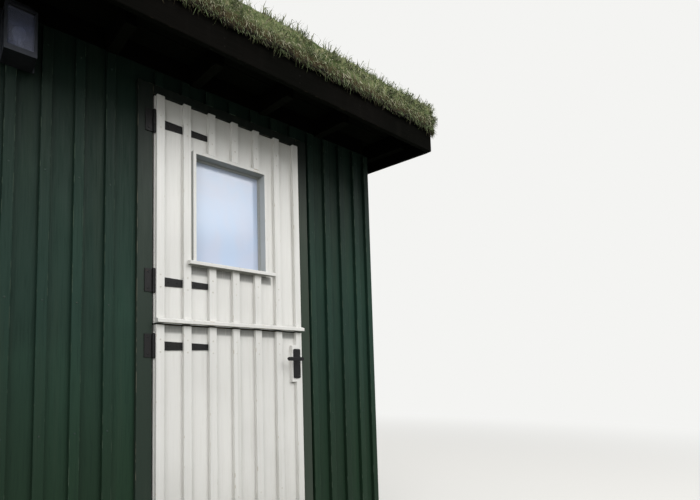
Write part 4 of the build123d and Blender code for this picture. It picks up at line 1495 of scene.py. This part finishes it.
    def sod(self, side: int, name: str, node: str) -> None:
        """One slope's sod, a closed shell that hangs over the fascia and verge boards.

        Args:
            side: -1 for the front slope, 1 for the back.
            name: the piece's name.
            node: the CAD node that it replaces.
        """
        reach_x, reach_y = self.reach(1.0)
        half = self.steps(reach_x, self.half_length - self.shoulder - self.near_width)
        across = np.concatenate([-half[:0:-1], half])[::side]
        down = self.steps(reach_y, self.half_depth - self.shoulder - self.near_width)
        u, v = (grid.ravel() for grid in np.meshgrid(across, down))
        points, normals, share = self.blanket(u, v, side)
        swell = self.lumps(points, share)
        cell, seed, height = self.rags
        ragged = value_noise(points * (1, 1, 0.2), cell, seed) * height * np.clip(share * 3 - 2, 0, 1)
        outer = self.kept_in(points + normals * swell[:, None] - np.outer(ragged, (0, 0, 1)))
        level = np.linalg.norm(normals[:, :2], axis=1)
        thickness = self.top_thickness + (self.lip_thickness - self.top_thickness) * level
        inner = points - normals * thickness[:, None] - np.outer(ragged, (0, 0, 1))
        grid = (len(down), len(across), 3)
        solid = np.ones((len(down) - 1, len(across) - 1), bool)
        shape = stitched(outer.reshape(grid), inner.reshape(grid), solid)
        shape.quad_finish = None
        made = piece(name, shape, [SodFinish()], stands_for=(node,), smooth=True)
        shares = made.data.attributes.new("face_share", "FLOAT", "POINT")
        shares.data.foreach_set("value", np.concatenate([share, share]).astype(np.float32))

    def plant(self, name: str, root: Rows, rise: Rows, bend: Rows, length: Rows,
              width: Rows, tone: Rows, seed: int) -> None:
        """Grass blades as closed three-sided spikes with one bend.

        A ring of three points at the root and a narrower one at the knee carry the blade to its tip.

        Args:
            name: the piece's name.
            root: where each blade grows, one row each.
            rise: its first direction.
            bend: what is added to that direction past the knee.
            length: its length.
            width: its width at the root.
            tone: its place on the ramp of tones, 0 to 1.
            seed: which way each blade is turned.
        """
        rng = np.random.default_rng(seed)
        rise = unit(rise)
        beside = unit(np.cross(rise, rng.normal(size=(len(root), 3))))
        ring = np.stack([-beside / 2, beside / 2, np.cross(rise, beside) / 3], 1) * width[:, None, None]
        knee = root + rise * (length * self.knee)[:, None]
        tip = knee + unit(rise + bend) * (length * (1 - self.knee))[:, None]
        points = np.concatenate([root[:, None] + ring, knee[:, None] + ring * 0.75, tip[:, None]], 1)
        quads = np.array([(0, 1, 4, 3), (1, 2, 5, 4), (2, 0, 3, 5)])
        tris = np.array([(3, 4, 6), (4, 5, 6), (5, 3, 6), (2, 1, 0)])
        high = np.array([0, 0, 0, 0.5, 0.5, 0.5, 1.0]) * 0.96 + 0.02
        spread = np.array([-1, 1, 0, -1, 1, 0, 0]) * 0.008
        chart = np.stack([np.clip(tone[:, None] + spread, 0.012, 0.988),
                          np.broadcast_to(high, (len(root), 7))], -1)
        piece(name, Shape.repeated(self.kept_in(points), quads, tris, chart), [BladeFinish()])

    def grass(self, side: int, name: str, tufts: int, seed: int) -> None:
        """Tufts over one slope and its shoulder, denser and longer towards the edges.

        Args:
            side: -1 for the front slope, 1 for the back.
            name: the piece's name.
            tufts: how many tufts.
            seed: the random draws.
        """
        rng = np.random.default_rng(seed)
        kind, count = self.grass_kind, tufts * self.per_tuft
        reach_x, reach_y = self.reach(kind.past_shoulder)
        spread_x = rng.random(tufts) * 2 - 1
        spread_y = 1 - rng.random(tufts) ** 1.5
        middle = np.stack([np.sign(spread_x) * np.abs(spread_x) ** 0.8 * reach_x, spread_y * reach_y], -1)
        flat = np.repeat(middle, self.per_tuft, axis=0) + rng.normal(size=(count, 2)) * 0.012
        points, normals, share = self.rooted(flat[:, 0], np.abs(flat[:, 1]), side, kind.sunk)
        lean = np.repeat(rng.normal(size=(tufts, 3)), self.per_tuft, axis=0) * 0.25
        rise = normals * 0.9 + lean + rng.normal(size=(count, 3)) * 0.4 + (0, 0, 0.5)
        droop = rng.normal(size=(count, 3)) * 0.5 - np.outer(0.5 + 1.6 * share, (0, 0, 1))
        length = np.minimum(kind.lengths(rng, count, 1.6) * (1 + 0.3 * share), self.room(points))
        width, tone = kind.widths(rng, count), kind.tones(rng, points, share)
        self.plant(name, points, rise, droop, length, width, tone, seed + 1)

    def moss(self, side: int, name: str, stalks: int, seed: int) -> None:
        """Short moss stalks and fine grass in cushions between the tufts of one slope.

        A stalk is a spike of four triangles, and stands where value noise is high.

        Args:
            side: -1 for the front slope, 1 for the back.
            name: the piece's name.
            stalks: how many stalks.
            seed: the random draws.
        """
        rng = np.random.default_rng(seed)
        kind = self.moss_kind
        reach_x, reach_y = self.reach(kind.past_shoulder)
        flat = rng.random((stalks * 2, 2)) * (2 * reach_x, reach_y) - (reach_x, 0)
        level = np.concatenate([flat, np.zeros((len(flat), 1))], 1)
        cushion = value_noise(level, 0.13, 18) + 0.6 * value_noise(level, 0.05, 19)
        flat = flat[np.argsort(rng.random(len(flat)) * 1.4 - cushion)[:stalks]]
        points, normals, share = self.rooted(flat[:, 0], flat[:, 1], side, kind.sunk)
        rise = unit(normals + rng.normal(size=(stalks, 3)) * 0.45)
        beside = unit(np.cross(rise, rng.normal(size=(stalks, 3))))
        length = np.minimum(kind.lengths(rng, stalks), self.room(points))
        width, tone = kind.widths(rng, stalks), np.clip(kind.tones(rng, points, share), 0.03, 0.97)
        ring = np.stack([-beside / 2, beside / 2, np.cross(rise, beside) * 0.6], 1)
        spike = np.concatenate([points[:, None] + ring * width[:, None, None],
                                (points + rise * length[:, None])[:, None]], 1)
        faces = np.array([(0, 1, 3), (1, 2, 3), (2, 0, 3), (2, 1, 0)])
        chart = np.stack([np.repeat(tone[:, None], 4, axis=1),
                          np.broadcast_to((0.3, 0.3, 0.3, 0.95), (stalks, 4))], -1)
        shape = Shape.repeated(self.kept_in(spike), np.zeros((0, 4), int), faces, chart)
        piece(name, shape, [BladeFinish()])

    def fringe(self, side: int, name: str, strands: int, seed: int) -> None:
        """Straw and roots that hang from the sod's face along one eave and its verges.

        Args:
            side: -1 for the front slope, 1 for the back.
            name: the piece's name.
            strands: how many blades and roots.
            seed: the random draws.
        """
        rng = np.random.default_rng(seed)
        kind = self.fringe_kind
        reach_x, reach_y = self.reach(kind.past_shoulder)
        past = self.skirt * (0.45 + 0.55 * np.sqrt(rng.random(strands)))
        run = rng.random(strands)
        on_eave = rng.random(strands) < reach_x / (reach_x + reach_y)
        end = np.where(rng.random(strands) < 0.5, -1, 1)
        across = end * np.where(on_eave, run * (reach_x + past), reach_x + past)
        down = np.where(on_eave, reach_y + past, run * (reach_y + past))
        points, normals, share = self.rooted(across, down, side, kind.sunk)
        rise = normals * 0.35 + rng.normal(size=(strands, 3)) * (0.35, 0.35, 0.1) - (0, 0, 1.0)
        droop = rng.normal(size=(strands, 3)) * (0.5, 0.5, 0.2) - (0, 0, 0.6)
        clump = 0.5 + 0.5 * value_noise(points * (1, 1, 0.1), 0.07, 17)
        length = kind.length + (kind.longer + 0.04 * clump) * rng.random(strands)
        width, tone = kind.widths(rng, strands), kind.tones(rng, points, share)
        tone -= 0.66 * np.clip((share - 0.68) / 0.32, 0, 1)
        self.plant(name, points, rise, droop, length, width, tone, seed + 1)

    def build(self) -> None:
        """Lays the sods and plants them."""
        thin = 1
        for side, word in ((-1, "front"), (1, "back")):
            self.sod(side, f"sod_{word}", f"turf_{word}")
            self.grass(side, f"grass_{word}", self.tufts // thin, 31 + side)
            self.moss(side, f"moss_{word}", self.stalks // thin, 51 + side)
            self.fringe(side, f"fringe_{word}", self.strands // thin, 41 + side)


@dataclass(frozen=True)
class Viewpoint:
    """The photograph's camera, found from the door's edges and the battens' lines."""

    place: Place = (-0.4036, -3.0290, 1.0379)
    yaw: float = math.radians(36.018)
    pitch: float = math.radians(4.545)
    roll: float = math.radians(-0.7575)
    focal_px: float = 455.456
    centre_px: tuple[float, float] = (253.31, 340.02)
    frame_px: tuple[int, int] = (700, 500)
    sensor_mm: float = 36.0

    def build(self) -> None:
        """Makes the camera: forward is the yaw from +Y towards +X, raised by the pitch."""
        data = bpy.data.cameras.new("camera")
        data.sensor_width = self.sensor_mm
        data.lens = self.focal_px / self.frame_px[0] * self.sensor_mm
        data.shift_x = (self.frame_px[0] / 2 - self.centre_px[0]) / self.frame_px[0]
        data.shift_y = (self.centre_px[1] - self.frame_px[1] / 2) / self.frame_px[0]
        stance = Matrix.Translation(self.place)
        for angle, axis in ((-self.yaw, "Z"), (math.pi / 2 + self.pitch, "X"), (self.roll, "Z")):
            stance = stance @ Matrix.Rotation(angle, 4, axis)
        made = placed("camera", data)
        made.matrix_world = stance
        bpy.context.scene.camera = made


@dataclass(frozen=True)
class Lamp:
    """A soft box: a square lamp that points at a target."""

    name: str
    place: Place
    target: Place
    size: float
    watts: float

    def build(self) -> None:
        """Makes the lamp."""
        data = bpy.data.lights.new(self.name, "AREA")
        data.size = self.size
        data.energy = self.watts
        made = placed(self.name, data)
        made.location = self.place
        aim = Vector(self.target) - Vector(self.place)
        made.rotation_euler = aim.to_track_quat("-Z", "Y").to_euler()


@dataclass
class Studio:
    """Plain pale floor and backdrop with soft light."""

    floor_half: float = 60.0
    floor_colour: str = "#E4E3DF"
    ground_bounce: str = "#6B6C64"
    backdrop: str = "#F4F4F2"
    fade_from: float = 4.0
    fade_to: float = 11.0
    sky_strength: float = 0.6
    lamps: tuple[Lamp, ...] = (
        Lamp("key", (3.0, -8.0, 7.0), (0.3, -1.2, 1.2), 6.0, 550.0),
        Lamp("fill", (-6.5, -7.0, 4.2), (-0.2, -1.2, 1.2), 5.0, 300.0),
        Lamp("back", (2.0, 9.0, 6.5), (0.0, 1.2, 1.3), 6.0, 420.0),
    )

    def world(self) -> None:
        """A plain sky that lights the pod, and shows as the backdrop to the eye and in gloss."""
        graph = Graph(bpy.data.worlds.new("studio"))
        lit, shown = (graph.add("Background", {"Color": colour, "Strength": strength}).outputs[0]
                      for colour, strength in (("#FFFFFF", self.sky_strength), (self.backdrop, 1.0)))
        mix = graph.add("MixShader", {0: graph.seen(), 1: lit, 2: shown})
        bpy.context.scene.world = graph.finished(mix.outputs[0])

    def floor_finish(self) -> Material:
        """Pale to the eye, with the pod's shadow; as dull as a path where light only bounces.

        Returns:
            The material.
        """
        graph = Graph(bpy.data.materials.new("studio_floor"))
        place = graph.add("TexCoord").outputs["Object"]
        far = graph.add("VectorMath", {0: place}, operation="LENGTH").outputs["Value"]
        pale, dull = (graph.add("BsdfDiffuse", {"Color": colour}).outputs[0]
                      for colour in (self.floor_colour, self.ground_bounce))
        beyond = graph.add("Emission", {"Color": self.backdrop, "Strength": 1.0}).outputs[0]
        fade = graph.add("MapRange", {"Value": far, "From Min": self.fade_from, "From Max": self.fade_to},
                         interpolation_type="SMOOTHSTEP").outputs[0]
        shown = graph.add("MixShader", {0: fade, 1: pale, 2: beyond}).outputs[0]
        return graph.finished(graph.add("MixShader", {0: graph.seen(), 1: dull, 2: shown}).outputs[0])

    def floor(self) -> None:
        """The pale floor under the pod, which isn't part of it."""
        corners = np.array([(-1, -1, 0), (1, -1, 0), (1, 1, 0), (-1, 1, 0)]) * self.floor_half
        made = placed("floor", Shape(corners, np.array([[0, 1, 2, 3]])).mesh("floor", False))
        made.data.materials.append(self.floor_finish())

    def build(self) -> None:
        """Sets the view transform, the world, the floor and the lamps."""
        bpy.context.scene.view_settings.view_transform = "Standard"
        self.world()
        self.floor()
        for lamp in self.lamps:
            lamp.build()


def main() -> None:
    """Builds the pod's pieces, then the studio and the camera."""
    logging.basicConfig(level=logging.INFO, format="%(name)s %(message)s")
    turf_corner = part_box("turf_front")[1]
    for part in (
        Shell(), Timberwork(), StableDoor(), Ironmongery(), WallLantern(), Fixings(),
        TurfRoof(turf_corner.x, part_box("turf_back")[1].y, turf_corner.z), Studio(), Viewpoint(),
    ):
        part.build()


if __name__ == "__main__":
    main()
